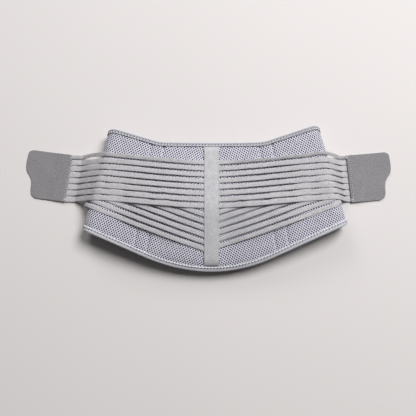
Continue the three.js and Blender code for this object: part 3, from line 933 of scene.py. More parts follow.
@dataclass
class BeltPad:
    """One padded half of the belt: a soft core in a perforated knit, pinched along its sewn lines.

    The knit's eyelets lie in rows, with a raised strand of yarn between two rows; the yarn sunk between the
    holes of a row is painted darker, as shade in the furrow.
    """

    side: BeltSide
    straps: "StrapSet"
    stitches: StitchTree
    knit: KnitTree
    step_up: Span = (1.25, 4.02)
    step_along: Span = (3.42, -2.55)
    hole: Span = (1.5, 1.36)
    hole_lip: float = 0.15
    furrow: float = 0.6
    furrow_shade_below: float = 0.62
    wall_in: float = 0.9
    wall_depth: float = 1.1
    sink: float = 0.75
    core_below: float = 1.9
    seam_depth: float = 2.8
    seam_width: float = 3.3
    stitch_beside: float = 1.9
    stitch_over: float = 0.15
    stitch_pitch: float = 3.6
    stitch_length: float = 3.9
    stitch_thickness: float = 1.9
    stitch_jitter: float = 0.12
    stitch_span: Span = (150.0, -120.0)
    stitch_points: int = 180
    full_from: float = -0.5
    full_to: float = 5.5
    edge_spare: float = 0.1
    edge_cover: float = 4.0
    knit_from: float = 11.0
    knit_end: float = 2.0
    knit_high: float = 200.0
    knit_join: float = 0.05
    knit_jitter: float = 0.16
    centre_gap: float = 0.3
    blend_before: float = 0.03
    blend_after: float = 0.05
    core_spare: float = 0.9
    core_least: float = 0.5
    press_depth: float = 1.8
    fill: float = 0.5
    seed: int = 7

    FINISHES = (KNIT, SPACER_HOLE_SHADE, LINING, FURROW_SHADE_YARN)
    CORE_PLACES = (40, 25, 30)
    CORE_RIM = (0, 0.012, 0.03, 0.05)
    CORE_ROWS = 36
    CORE_INNER = (0.07, 0.93)

    def __post_init__(self) -> None:
        """Blows up the half's padding."""
        self.swell = PadSwell(self.side)

    def fullness(self, around: Array, y: Array) -> Array:
        """Returns the share of the full padding that is left beside the bindings."""
        full = 1.0
        for edge in Edge:
            inset, cover = BELT.inset(self.side, edge, around, y), BELT.cover(edge)
            full = full * smoothstep(inset, cover + self.full_from, cover + self.full_to)
        return full

    def padding(self, around: Array, x: Array, y: Array) -> Array:
        """Returns half the thickness of the swollen padding."""
        full = BELT.half - self.sink + self.swell.at(x, y)
        return lerp(BELT.edge_wall / 2 - self.edge_spare, full, self.fullness(around, y))

    def crest(self, around: Array, x: Array, y: Array) -> Array:
        """Returns the height of the knit's face over the middle surface.

        Args:
            around: Places round the half.
            x: Run of the cloth from the centre.
            y: Heights on the belt.

        Returns:
            Heights of the knit's face.
        """
        height = self.padding(around, x, y)
        for seam in STAY_SEAMS:
            height = height - self.seam_depth * np.exp(-((x - seam.x(y)) / self.seam_width) ** 2)
        return height - self.press_depth * self.fullness(around, y) * self.straps.pressed(x, y)

    def eyelet(self) -> bpy.types.Object:
        """Returns one cell of the knit: yarn from its border down into the hole, in flat millimetres."""
        up, along = np.array(self.step_up), np.array(self.step_along)
        spacing = float(np.hypot(*along))
        way = along / spacing
        square = np.array([-way[1], way[0]])
        row = abs(float(up @ square))

        def laid(lengthwise: Array, across: Array, drop: float) -> Array:
            """Returns points of the cell, sunk in the furrow along its row of holes."""
            sunk = -self.furrow * (1 + np.cos(2 * math.pi * across / row)) / 2 - drop
            return np.column_stack([np.outer(lengthwise, way) + np.outer(across, square), sunk])

        around = [up, up + along, along, -up, -up - along, -along]
        corners = np.array([
            np.linalg.solve(np.array([a, b]), np.array([a @ a, b @ b]) / 2)
            for a, b in zip(around, around[1:] + around[:1])])
        border = np.stack([corners, (corners + np.roll(corners, -1, axis=0)) / 2], axis=1).reshape(-1, 2)
        lengthwise, across = border @ way, border @ square
        turn = np.arctan2(across / row, lengthwise / spacing)
        half_length, half_width = self.hole[0] * np.cos(turn), self.hole[1] * np.sin(turn)
        points = np.concatenate([
            laid(lengthwise, across, 0.0), laid(half_length, half_width, self.hole_lip),
            laid(half_length * self.wall_in, half_width * self.wall_in, self.wall_depth)])
        mesh = bpy.data.meshes.new("eyelet")
        mesh.from_pydata(points.tolist(), [], loft_faces(3, len(border)))
        return bpy.data.objects.new("eyelet", mesh)

    def lattice(self) -> bpy.types.Object:
        """Returns the points of the flat cloth on which eyelets sit, as a guide object in millimetres."""
        span = int(BELT.run_to_end(self.side, BELT.bottom_at_centre) / 2)
        i, j = np.meshgrid(np.arange(-span, span), np.arange(-span, span))
        spots = i.reshape(-1, 1) * np.array(self.step_up) + j.reshape(-1, 1) * np.array(self.step_along)
        run, y = spots[:, 0], spots[:, 1]
        near = (run > self.knit_from) & (np.abs(y) < self.knit_high)
        run, y = run[near], y[near]
        around = BELT.around_at(self.side, run, y)
        inside = (around < self.knit_end) & (BELT.from_edges(self.side, around, y) > self.edge_cover)
        flat = np.column_stack([run[inside], y[inside], np.zeros(int(inside.sum()))])
        mesh = bpy.data.meshes.new("lattice")
        mesh.from_pydata(flat.tolist(), [], [])
        return linked("knit_" + self.side.name, mesh)

    def skin(self, parts: MeshParts) -> None:
        """Lays the perforated knit over the half, from its flat cut, and adds it to the mesh."""
        eyelet = self.eyelet()
        flat = self.knit.apply(self.lattice(), {
            "Eyelet": eyelet, "Join Distance": self.knit_join, "Jitter": self.knit_jitter, "Seed": self.seed,
            "Material": KNIT.material()})
        cut = vertex_points(flat.data)
        run, y = np.maximum(cut[:, 0], self.centre_gap), cut[:, 1]
        around = np.clip(BELT.around_at(self.side, run, y), 0.0, 3.0)
        points = BELT.face(self.side, around, y, self.crest(around, run, y) + cut[:, 2])
        faces = [tuple(p.vertices)[::self.side.sign] for p in flat.data.polygons]
        start = parts.add(points, [], weave=cut[:, :2])
        depths = np.array([[cut[i, 2] for i in face] for face in faces])
        # Faces deep in the eyelets take the near-black spacer colour: partly the spacer's dark grey, partly
        # painted shade in the holes.
        deep = depths.min(axis=1) < -self.wall_depth
        # Faces of yarn sunk in the furrows take the darker copy of the knit: painted shade in the furrows.
        furrow_shaded = ~deep & (depths.mean(axis=1) < -self.furrow_shade_below * self.furrow)
        for finish, group in ((KNIT, ~deep & ~furrow_shaded), (SPACER_HOLE_SHADE, deep), (FURROW_SHADE_YARN, furrow_shaded)):
            parts.join(start, [faces[i] for i in np.flatnonzero(group)], self.FINISHES.index(finish))
        bpy.data.objects.remove(flat)
        bpy.data.objects.remove(eyelet)

    def core(self, parts: MeshParts) -> None:
        """Adds the padding under the knit, with the lining on its inner face."""
        around = places_round(*self.CORE_PLACES)
        rim = np.array(self.CORE_RIM)
        rows = np.concatenate([rim, np.linspace(*self.CORE_INNER, self.CORE_ROWS), (1 - rim)[::-1]])
        top, bottom = (BELT.edge(self.side, edge, around)[:, None] for edge in Edge)
        y = lerp(top, bottom, rows[None, :])
        place = np.broadcast_to(around[:, None], y.shape)
        run = BELT.run_at(self.side, place, y)
        crest = self.crest(place, run, y)
        bared = smoothstep(place, self.knit_end - self.blend_before, self.knit_end + self.blend_after)
        below = self.core_below * (1 - bared)
        outer = BELT.face(self.side, place, y, crest - below)
        lining = -self.padding(place, run, y) - self.core_spare * (below > 0)
        inner = BELT.face(self.side, place, y, np.minimum(lining, crest - below - self.core_least))
        count, width = y.shape
        turned = self.side.sign < 0
        weave = np.stack([run, y], axis=-1)
        faces = loft_faces(count, width, False, turned)
        bare = int(np.searchsorted(around, self.knit_end)) * (width - 1)
        hole_shade, cloth = self.FINISHES.index(SPACER_HOLE_SHADE), self.FINISHES.index(LINING)
        # Under the knit the core's face takes the near-black spacer colour, partly painted shade seen through
        # the eyelets.
        start = parts.add(outer, faces[:bare], hole_shade, weave)
        parts.join(start, faces[bare:], cloth)
        parts.add(inner, loft_faces(count, width, False, not turned), cloth, weave)
        border = [i * width for i in range(count)] + [(count - 1) * width + j for j in range(1, width)]
        border += [i * width + width - 1 for i in range(count - 2, -1, -1)] + list(range(width - 2, 0, -1))
        points = np.concatenate([outer.reshape(-1, 3)[border], inner.reshape(-1, 3)[border]])
        parts.add(points, loft_faces(2, len(border), True, turned), cloth)

    def build(self) -> list[bpy.types.Object]:
        """Builds the half and the stitches of its stay channel, and returns the pieces."""
        parts = MeshParts.empty()
        self.skin(parts)
        self.core(parts)
        node = "belt_" + self.side.name
        pad = mounted(parts.piece(node + "_pad", self.FINISHES), KNIT, node)
        return [pad, self.channel()]

    def channel(self) -> bpy.types.Object:
        """Returns the two rows of stitches that hold the stay's channel."""
        rows = []
        for seam in STAY_SEAMS:
            y = np.linspace(*self.stitch_span, self.stitch_points)
            run = seam.x(y) - self.side.sign * self.stitch_beside
            around = BELT.around_at(self.side, run, y)
            inside = BELT.from_edges(self.side, around, y) > BELT.bottom_cover
            run, y, around = run[inside], y[inside], around[inside]
            rows.append(guide_row(self.side, around, y, self.crest(around, run, y) + self.stitch_over))
        return sew("stay_stitches_" + self.side.name, self.stitches, rows, STAY_THREAD, {
            "Pitch": self.stitch_pitch, "Length": self.stitch_length, "Thickness": self.stitch_thickness,
            "Jitter": self.stitch_jitter, "Seed": self.seed})


GuideRow = tuple[Array, Array]


def guide_row(side: BeltSide, around: Array, y: Array, height: Number) -> GuideRow:
    """Returns a line over the belt's face: points of the part's frame and directions away from the face."""
    _, normal, _ = BELT.axes(side, around, y)
    return BELT.face(side, around, y, height), side.placed(normal)


def sew(
    name: str, tree: StitchTree, rows: Sequence[GuideRow], finish: Finish, values: dict[str, object],
) -> bpy.types.Object:
    """Sews stitches along guide lines.

    Args:
        name: Name of the new piece.
        tree: The stitches' tree.
        rows: Lines of points, each with its directions away from the cloth.
        finish: The beads' finish: a thread's, or the near-black of painted shade.
        values: The tree's inputs, with lengths in millimetres.

    Returns:
        The stitches as one piece that rides with the belt.
    """
    points = np.concatenate([row[0] for row in rows]) * MM
    ups = np.concatenate([row[1] for row in rows])
    edges, start = [], 0
    for row in rows:
        edges += [(start + i, start + i + 1) for i in range(len(row[0]) - 1)]
        start += len(row[0])
    mesh = bpy.data.meshes.new(name)
    mesh.from_pydata(points.tolist(), edges, [])
    away = mesh.attributes.new("up", "FLOAT_VECTOR", "POINT")
    away.data.foreach_set("vector", ups.astype(np.float32).ravel())
    sizes = {key: value * MM if key in tree.LENGTHS else value for key, value in values.items()}
    return mounted(tree.apply(linked(name, mesh), {"Material": finish.material(), **sizes}), finish)


@dataclass(frozen=True)
class StitchRow:
    """One row of stitches on a tape, with its depth from the edge and its shift as a share of the pitch."""

    name: str
    finish: Finish
    depth: float
    length: float
    thickness: float
    lean: float = 0.0
    along: float = 0.0
    height: float = 2.45


@dataclass
class EdgeBinding:
    """Tape folded over one whole edge of the belt, with a rounded roll, rows of stitches and rows of
    near-black beads painted as shade in the needle holes.
    """

    edge: Edge
    stitches: StitchTree
    finish: Finish
    rows: tuple[StitchRow, ...]
    roll: float
    pitch: float = 5.9
    guide_depth: float = 5.0
    floor_gap: float = 0.4
    under_span: Span = (1.3, 1.9)
    under_height: float = 2.45
    under_sink: float = 0.5
    jitter: float = 0.1
    seed: int = 3

    PLACES = (70, 36, 40)
    ROLL_END = 3.2
    SECTION = (
        (8.4, 1.95), (8.15, 2.3), (7.5, 2.45), (5.2, 2.5), (3.9, 2.45), (3.2, 2.32), (2.6, 2.55), (1.6, 2.9),
        (0.4, 2.8), (-0.5, 2.25), (-1.05, 1.3), (-1.15, 0.0), (-1.05, -1.2), (-0.6, -2.0), (0.2, -2.4),
        (1.5, -2.5), (7.6, -2.5), (8.2, -2.3), (8.4, -1.95), (7.8, -1.75), (0.3, -1.7), (-0.25, 0.0),
        (0.3, 1.7), (7.8, 1.75))

    @property
    def name(self) -> str:
        """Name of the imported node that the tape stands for."""
        return "top_binding" if self.edge is Edge.TOP else "bottom_binding"

    def section(self) -> list[tuple[float, float]]:
        """Returns the tape's outline, with its roll and its flat part drawn out to their depths."""
        least, most = min(self.SECTION)[0], max(self.SECTION)[0]
        depths = (least, 0.0, self.ROLL_END, most)
        drawn = (least, 0.0, self.roll, BELT.cover(self.edge))
        return [(float(np.interp(d, depths, drawn)), h) for d, h in self.SECTION]

    def stations(self) -> Array:
        """Returns the places round a half where the tape's sections stand."""
        return places_round(*self.PLACES)

    def at(self, side: BeltSide, around: Array, depth: float, height: Array) -> GuideRow:
        """Returns points at a depth from the edge and a height over the middle surface, and their normals."""
        y = BELT.edge(side, self.edge, around)
        point, normal, across = BELT.axes(side, around, y)
        place = point + across * (self.edge.value * depth) + normal * np.asarray(height, float)[..., None]
        return side.placed(place), side.placed(normal)

    def build(self) -> list[bpy.types.Object]:
        """Builds the tape and its stitches and returns them."""
        halves = []
        around, outline = self.stations(), self.section()
        under = smoothstep(around, *self.under_span)
        for side in SIDES:
            columns = [
                self.at(side, around, depth, lerp(height, min(height, self.under_height), under))[0]
                for depth, height in outline]
            halves.append(np.stack(columns, axis=1))
        rings = np.concatenate([halves[0][::-1], halves[1]])
        run, wrap = path_length(rings[:, 0]), path_length(np.array(outline))
        weave = np.stack(np.broadcast_arrays(run[:, None], wrap[None, :]), axis=-1)
        tape = lofted(self.name + "_tape", self.finish, rings, self.edge is Edge.TOP, weave)
        mounted(tape, self.finish, self.name)
        return [tape] + [self.sewn(row) for row in self.rows]

    def sewn(self, row: StitchRow) -> bpy.types.Object:
        """Returns one row of stitches along the tape."""
        around = self.stations()
        lowest = min(row.height - self.under_sink, BELT.half - self.floor_gap - row.thickness / 2)
        height = lerp(row.height, lowest, smoothstep(around, *self.under_span))
        left, right = (self.at(side, around, self.guide_depth, height) for side in SIDES)
        line = tuple(np.concatenate([a[::-1], b[1:]]) for a, b in zip(left, right))
        return sew(f"{self.name}_{row.name}", self.stitches, [line], row.finish, {
            "Pitch": self.pitch, "Length": row.length, "Thickness": row.thickness, "Lean": row.lean,
            "Along": row.along * self.pitch, "Beside": self.edge.value * (row.depth - self.guide_depth),
            "Jitter": self.jitter, "Seed": self.seed})


@dataclass(frozen=True)
class Ripple:
    """A place where a strap's edge ripples against its neighbour."""

    side: str
    strap: int
    x: float
    shift: float


RIPPLES = (
    Ripple("left", 5, 88.0, 0.9), Ripple("left", 6, 84.0, 0.8), Ripple("left", 2, 190.0, -0.7),
    Ripple("left", 3, 186.0, 0.8), Ripple("right", 5, 38.0, 0.9), Ripple("right", 6, 53.0, 0.8),
    Ripple("right", 2, 164.0, 0.8), Ripple("right", 3, 168.0, 0.9), Ripple("right", 4, 172.0, 0.9),
    Ripple("right", 2, 206.0, 0.8), Ripple("right", 4, 211.0, 0.9), Ripple("right", 5, 213.0, -0.8),
    Ripple("right", 6, 176.0, 0.8))


@dataclass
class StrapSet:
    """Elastic straps of one side: an upper set that runs nearly level and a lower set that rises under it."""

    side: BeltSide
    upper_width: Span = (8.4, 9.5)
    widen_span: Span = (95.0, 175.0)
    lower_width: float = 7.9
    thickness: float = 0.9
    start: float = 3.0
    layer_low: float = 0.4
    layer_high: float = 1.75
    rise_span: Span = (13.6, 25.0)
    upper_count: int = 8
    upper_pitch: float = 11.8
    upper_middle: float = 40.3
    upper_climb: float = 18.0
    lower_count: int = 6
    lower_pitch: float = 11.6
    lower_sag: float = 2.0
    tuck_before: float = 25.0
    in_tab: float = 10.0
    stations: int = 120
    wander: float = 0.28
    tilt: float = 0.05
    wave_reach: Span = (0.4, 1.0)
    wave_lengths: tuple[float, ...] = (31.0, 17.0, 8.5)
    wave_from: Span = (12.0, 40.0)
    wave_to_end: Span = (30.0, 8.0)
    press_below: Span = (12.0, 3.0)
    press_above: float = 12.0
    press_span: tuple[Span, Span] = ((13.0, 30.0), (150.0, 190.0))
    hover_high: float = 2.3
    hover_last: float = 4.2
    hover_lowest: float = 1.2
    hover_span: tuple[Span, Span] = ((25.0, 70.0), (140.0, 185.0))
    covered_below: Span = (10.0, -6.0)
    turn_up: float = 6.0
    turn_from: Span = (20.0, 60.0)
    turn_to_end: Span = (8.0, 1.0)
    hinge: Span = (-1.0, 0.4)
    hinge_span: tuple[Span, Span] = ((170.0, 205.0), (222.0, 246.0))
    ripple_length: float = 5.5
    seed: int = 21

    SECTION = (
        (-1.0, 0.35), (-0.95, 0.75), (-0.82, 0.97), (-0.4, 1.04), (0.0, 1.06), (0.4, 1.04), (0.82, 0.97),
        (0.95, 0.75), (1.0, 0.35), (0.92, 0.0), (-0.92, 0.0))

    def offset(self, i: int) -> float:
        """Returns how far an upper strap lies above the middle of its set."""
        return ((self.upper_count - 1) / 2 - i) * self.upper_pitch

    def lowest_line(self, x: Array) -> Array:
        """Returns the height on the belt of the lower set's lowest strap."""
        return self.side.lower_start + self.side.lower_rise * x

    def pressed(self, x: Array, y: Array) -> Array:
        """Returns how far the taut lower set presses the panel in, as a share of the most."""
        low, high = self.lowest_line(x), self.upper_line(x, self.offset(self.upper_count))
        rise = tuple(low - below for below in self.press_below)
        return window(y, rise, (high, high + self.press_above)) * window(x, *self.press_span)

    def upper_line(self, x: Array, offset: float) -> Array:
        """Returns the height on the belt of a line of the upper set."""
        return self.upper_middle + self.upper_climb * smoothstep(x, 0.0, self.side.tab_x) + offset

    def upper_route(self, i: int) -> tuple[Callable[[Array], Array], float]:
        """Returns the line of an upper strap, as its height at each distance out, and where it ends."""
        offset = self.offset(i)
        end = self.side.tab_edge(self.side.tab_y + offset) + self.in_tab
        return lambda x: self.upper_line(x, offset), end

    def lower_route(self, i: int) -> tuple[Callable[[Array], Array], float]:
        """Returns the line of a lower strap, as its height at each distance out, and where it ends."""
        side = self.side
        above = (self.lower_count - 1 - i) * self.lower_pitch
        first = side.lower_start + above * math.hypot(1.0, side.lower_rise)

        def line(x: Array) -> Array:
            """Returns the strap's height on the belt."""
            tuck = side.lower_tuck * smoothstep(x, side.fold - self.tuck_before, side.tab_x)
            return first + side.lower_rise * x - self.lower_sag * np.sin(math.pi * x / side.tab_x) + tuck

        return line, side.tab_edge(float(line(np.array(side.tab_x)))) + self.in_tab

    def wave(self, draw: np.random.Generator, x: Array) -> Array:
        """Returns a slow wander along a strap, nothing at its sewn ends."""
        count = len(self.wave_lengths)
        phases, reach = draw.uniform(0, 2 * math.pi, count), draw.uniform(*self.wave_reach, count)
        total = sum(a * np.sin(x / length + p) for a, p, length in zip(reach, phases, self.wave_lengths))
        return total / 2 * window(x, self.wave_from, tuple(x[-1] - before for before in self.wave_to_end))

    def hover(self, x: Array, line: Array, number: int) -> Array:
        """Returns how far a taut strap clears the panel, nothing where it passes under the upper set."""
        on_panel = window(x, *self.hover_span)
        if number >= 0:
            return on_panel * (self.hover_last if number == self.upper_count - 1 else self.hover_high)
        upper = self.upper_line(x, self.offset(self.upper_count))
        most = self.side.lower_hover + self.hover_lowest * (number == -self.lower_count)
        return on_panel * most * (1 - smoothstep(line, *(upper - below for below in self.covered_below)))

    def strap(self, number: int, draw: np.random.Generator) -> bpy.types.Object:
        """Builds one strap.

        Args:
            number: Its number in the upper set, from 0, or in the lower set, from -1 down.
            draw: Random numbers for its wander.

        Returns:
            The strap.
        """
        side = self.side
        if number >= 0:
            node, bed = f"upper_strap_{side.name}_{number + 1}", UPPER_BED
            line, end = self.upper_route(number)
            leave = bed.leave_for(side, side.tab_y + self.offset(number))
        else:
            node = f"lower_strap_{side.name}_{-number}"
            bed = LOOSE_BED if number == -self.lower_count else BED
            line, end = self.lower_route(-1 - number)
            leave = side.lower_leave
        x = np.linspace(self.start, end, self.stations)
        shift = self.wander * self.wave(draw, x)
        tilt = self.tilt * self.wave(draw, x)
        for ripple in RIPPLES:
            if ripple.side == side.name and ripple.strap == number:
                shift = shift + ripple.shift * np.exp(-((x - ripple.x) / self.ripple_length) ** 2)
        layer = lerp(self.layer_low, self.layer_high, smoothstep(x, *self.rise_span) * (number >= 0))
        widened = lerp(*self.upper_width, smoothstep(x, *self.widen_span))
        width = widened if number >= 0 else np.full_like(x, self.lower_width)
        turn_to = tuple(end - before for before in self.turn_to_end)
        turned_up = window(x, self.turn_from, turn_to) * (number == 0)
        narrow = 1 - (1 - side.top_strap) * turned_up
        hinge = lerp(*self.hinge, window(x, *self.hinge_span))
        step = bed.slope_step
        climb = (line(x + step) - line(x - step)) / (2 * step)
        sideways = unit(np.stack([-climb, np.ones_like(x)], axis=-1)) * width[:, None] / 2
        columns, weave = [], []
        run = path_length(np.column_stack([x, line(x)]))
        raised = layer + self.hover(x, line(x), number)
        for across, rise in self.SECTION:
            out = hinge + (across - hinge) * narrow
            ex = x + out * sideways[:, 0]
            ey = line(x) + shift + out * sideways[:, 1]
            lift = raised + self.thickness * rise + np.abs(tilt) * (1 + across * np.sign(tilt))
            lift = lift + self.turn_up * turned_up * (1 - side.top_strap) * (1 + across) / 2
            columns.append(side.placed(bed.over(side, leave, ex, ey, lift)))
            weave.append(np.column_stack([run, across * width / 2]))
        rings = np.stack(columns, axis=1)
        strap = lofted(node + "_elastic", ELASTIC, rings, side.sign < 0, np.stack(weave, axis=1))
        return mounted(strap, ELASTIC, node)

    def build(self) -> list[bpy.types.Object]:
        """Builds the lower set and the upper set over it, and returns the straps."""
        draw = np.random.default_rng(self.seed + self.side.sign)
        numbers = [-1 - i for i in range(self.lower_count)] + list(range(self.upper_count))
        return [self.strap(number, draw) for number in numbers]


@dataclass
class CentreTape:
    """Brushed tape over the centre seam and the straps' inner ends."""

    width: float = 27.5
    thickness: float = 1.2
    top: float = 114.0
    bottom: float = -111.3
    low: float = -1.9
    high: float = 1.6
    ramp: float = 13.0
    end_round: float = 0.9
    end_least: float = 0.05
    stations: int = 110

    SECTION = (
        (-1.0, 0.3), (-0.99, 0.9), (-0.95, 1.3), (-0.91, 1.3), (-0.86, 0.95), (-0.8, 1.05), (0.0, 1.0),
        (0.8, 1.05), (0.86, 0.95), (0.91, 1.3), (0.95, 1.3), (0.99, 0.9), (1.0, 0.3), (0.97, 0.0),
        (-0.97, 0.0))

    def build(self) -> bpy.types.Object:
        """Builds the tape and returns it."""
        y = np.linspace(self.top, self.bottom, self.stations)
        ends = np.minimum(self.top - y, y - self.bottom)
        lift = lerp(self.high, self.low, np.clip(1 - ends / self.ramp, 0.0, 1.0) ** 2)
        rounded = np.clip(1 - (1 - ends / self.end_round) ** 2, self.end_least, 1.0)
        tuck = np.sqrt(np.where(ends < self.end_round, rounded, 1.0))
        columns = []
        for across, rise in self.SECTION:
            x = np.full_like(y, across * self.width / 2)
            place = BED.over(LEFT, LEFT.lower_leave, np.abs(x), y, lift + self.thickness * rise * tuck)
            columns.append(np.column_stack([x, place[:, 1:]]))
        tape = mounted(lofted("centre_tape", TAPE, np.stack(columns, axis=1), True), TAPE, "centre_strip")
        return tape


@dataclass(frozen=True)
class TabRow:
    """One row of stitches on a pull tab, with its depth from the sewn edge and its ends across the tab."""

    name: str
    finish: Finish
    depth: float
    first: float
    last: float
    pitch: float
    length: float
    thickness: float
    lean: float
    zigzag: float = 0.0


@dataclass
class PullTab:
    """Felt hand tab, sewn over the outer ends of the straps and lying on the floor."""

    side: BeltSide
    stitches: StitchTree
    zigzag: bool
    height: float = 92.0
    thickness: float = 2.6
    sewn_thickness: float = 5.0
    sewn_slope: Span = (8.0, 38.0)
    layer: float = 1.1
    pocket_depth: float = 12.0
    pocket_top: float = 3.9
    round_off: float = 1.2
    corner: float = 7.0
    rows: int = 60
    rim_width: float = 2.0
    rim_least: float = 0.03
    end_flat: float = 1.0
    end_points: int = 9
    under_points: int = 24
    over_points: int = 40
    row_margin: float = 1.5
    row_points: int = 60
    tack_margin: float = 4.5
    tack_width: float = 1.6
    stitch_over: float = 0.12
    jitter: float = 0.08
    seed: int = 5

    RIM = (0.0, 0.12, 0.45, 1.0)
    OUTER_END = (
        (46.0, 4.5), (43.0, 2.0), (38.0, 0.9), (31.0, 0.4), (21.0, 0.0), (11.0, 1.0), (3.5, 3.5), (-3.5, 9.0),
        (-10.5, 13.2), (-18.0, 15.2), (-27.0, 15.8), (-36.0, 17.2), (-42.0, 20.0), (-46.0, 24.0))

    def outer_end(self, across: Array) -> Array:
        """Returns the tab's length at places across it, from the finger-grip line of its outer end."""
        table = np.array(self.OUTER_END)[::-1]
        at, short = table[:, 0], table[:, 1]
        slope = np.gradient(short, at)
        i = np.clip(np.searchsorted(at, across) - 1, 0, len(at) - 2)
        step = at[i + 1] - at[i]
        t = np.clip((across - at[i]) / step, 0.0, 1.0)
        curve = (
            (2 * t ** 3 - 3 * t ** 2 + 1) * short[i] + (t ** 3 - 2 * t ** 2 + t) * step * slope[i]
            + (3 * t ** 2 - 2 * t ** 3) * short[i + 1] + (t ** 3 - t ** 2) * step * slope[i + 1])
        return self.side.tab_length - curve

    def top_level(self, x: Array) -> Array:
        """Returns the height of the felt's upper face at distances from its sewn edge."""
        return lerp(self.sewn_thickness, self.thickness, smoothstep(x, *self.sewn_slope))

    def section(self, length: float) -> Array:
        """Returns the outline of a lengthwise section, from inside the pocket round the felt and back."""
        r = self.round_off
        turn = np.linspace(-math.pi / 2, math.pi / 2, self.end_points)
        end = np.column_stack([
            length - r + r * np.cos(turn), self.thickness / 2 + self.thickness / 2 * np.sin(turn)])
        under = np.linspace(0.6, length - r - self.end_flat, self.under_points)
        over = np.linspace(length - r - self.end_flat, 0.9, self.over_points)
        return np.concatenate([
            [(self.pocket_depth, self.layer), (0.3, self.layer), (0.0, self.layer - 0.3), (0.0, 0.4)],
            np.column_stack([under, np.zeros_like(under)]), end,
            np.column_stack([over, self.top_level(over)]),
            [(0.25, self.sewn_thickness - 0.2), (0.0, self.sewn_thickness - 0.6),
             (0.0, self.pocket_top + 0.15), (0.3, self.pocket_top), (self.pocket_depth, self.pocket_top)]])

    def on_floor(self, local: Array) -> Array:
        """Returns points of the part's frame from points counted from the tab's sewn edge."""
        turn = math.radians(self.side.tab_turn)
        x = self.side.tab_x + local[..., 0] * math.cos(turn) - local[..., 1] * math.sin(turn)
        y = self.side.tab_y + local[..., 0] * math.sin(turn) + local[..., 1] * math.cos(turn)
        return self.side.placed(np.stack([x, y, local[..., 2]], axis=-1))

    def build(self) -> list[bpy.types.Object]:
        """Builds the tab and its stitches and returns them."""
        half = self.height / 2
        inner = np.linspace(-half + self.rim_width, half - self.rim_width, self.rows)
        rim = np.array(self.RIM)
        across = np.concatenate([-half + rim, inner, (half - rim)[::-1]])
        rings = []
        for y in across:
            inset = half - abs(y)
            near = min(1.0, (inset + self.rim_least) / self.round_off)
            round_up = math.sqrt(max(0.0, 1 - (1 - near) ** 2))
            corner = self.corner - math.sqrt(max(0.0, self.corner ** 2 - max(0.0, self.corner - inset) ** 2))
            outline = self.section(float(self.outer_end(np.array(y))) - corner)
            middle = self.top_level(outline[:, 0]) / 2
            z = middle + (outline[:, 1] - middle) * round_up
            rings.append(np.column_stack([outline[:, 0], np.full(len(z), y), z]))
        node = "tab_" + self.side.name
        tab = lofted(node + "_felt", FELT, self.on_floor(np.stack(rings)), self.side.sign > 0)
        mounted(tab, FELT, node)
        area = float(np.trapz(self.outer_end(across), across))
        return [tab] + [self.sewn(row) for row in self.seam()]

    def seam(self) -> tuple[TabRow, ...]:
        """Returns the rows that this tab carries: stitches, and near-black beads of painted shade."""
        end = self.height / 2 - self.row_margin
        tack = self.height / 2 - self.tack_margin
        near = tack - self.tack_width
        tacks = (
            TabRow("tack_top", GREY_THREAD, 0.4, tack, near, 1.5, 6.5, 1.5, 1.3),
            TabRow("tack_low", GREY_THREAD, 1.6, -near, -tack, 1.5, 6.5, 1.5, 1.9))
        if self.zigzag:
            # The zigzag's pit row is near-black beads: painted shade between the stitches.
            return tacks + (
                TabRow("zigzag", GREY_THREAD, 2.6, end, -end, 2.9, 6.6, 1.2, 1.0, zigzag=1.0),
                TabRow("zigzag_pits", TAB_SHADE_BEADS, 2.6, end - 1.45, -end, 2.9, 5.4, 1.2, 1.0, zigzag=1.0))
        # The edge line and the pit row are near-black beads: a painted shadow along the felt's edge and
        # painted shade in the pits.
        return tacks + (
            TabRow("seam_line", TAB_SHADE_BEADS, -0.3, end, -end, 3.0, 4.0, 1.4, 0.0),
            TabRow("seam_stitches", GREY_THREAD, 5.0, end, -end, 4.2, 3.2, 1.2, 0.5),
            TabRow("seam_pits", TAB_SHADE_BEADS, 4.6, end - 2.1, -end, 4.2, 2.0, 1.2, 0.5))

    def sewn(self, row: TabRow) -> bpy.types.Object:
        """Returns one row of stitches along the sewn edge."""
        across = np.linspace(row.first, row.last, self.row_points)
        depth = np.full_like(across, row.depth)
        level = self.top_level(depth) + self.stitch_over
        line = self.on_floor(np.column_stack([depth, across, level]))
        up = np.tile([0.0, 0.0, 1.0], (len(across), 1))
        return sew(f"tab_{self.side.name}_{row.name}", self.stitches, [(line, up)], row.finish, {
            "Pitch": row.pitch, "Length": row.length, "Thickness": row.thickness, "Lean": row.lean,
            "Zigzag": row.zigzag, "Jitter": self.jitter, "Seed": self.seed})


@dataclass
class ClosurePatch:
    """Hook patch between the overlapping front flaps."""

    corner: float = 8.0
    steps: int = 8
    bevel_in: float = 0.5
    bevel_up: float = 0.4

    def outline(self, inset: float, low: Vector, high: Vector) -> Array:
        """Returns the patch's rounded outline, moved in from the edge."""
        r = self.corner - inset
        turn = np.linspace(0, math.pi / 2, self.steps)
        rings = []
        for k, (x, y) in enumerate(((high.x, high.y), (low.x, high.y), (low.x, low.y), (high.x, low.y))):
            away = np.array([-1.0 if k in (0, 3) else 1.0, -1.0 if k in (0, 1) else 1.0])
            centre = np.array([x, y]) / MM + away * self.corner
            angle = turn + k * math.pi / 2
            rings.append(centre + r * np.column_stack([np.cos(angle), np.sin(angle)]))
        return np.concatenate(rings)

    def build(self) -> bpy.types.Object:
        """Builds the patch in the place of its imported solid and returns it."""
        low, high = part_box("closure_patch")
        floor, roof = low.z / MM, high.z / MM
        levels = (
            (self.bevel_in, floor), (0.0, floor + self.bevel_up),
            (0.0, roof - self.bevel_up), (self.bevel_in, roof))
        rings = np.stack([
            np.column_stack([self.outline(inset, low, high), np.full(4 * self.steps, z)])
            for inset, z in levels])
        patch = mounted(lofted("closure_hooks", HOOKS, rings), HOOKS, "closure_patch")
        return patch


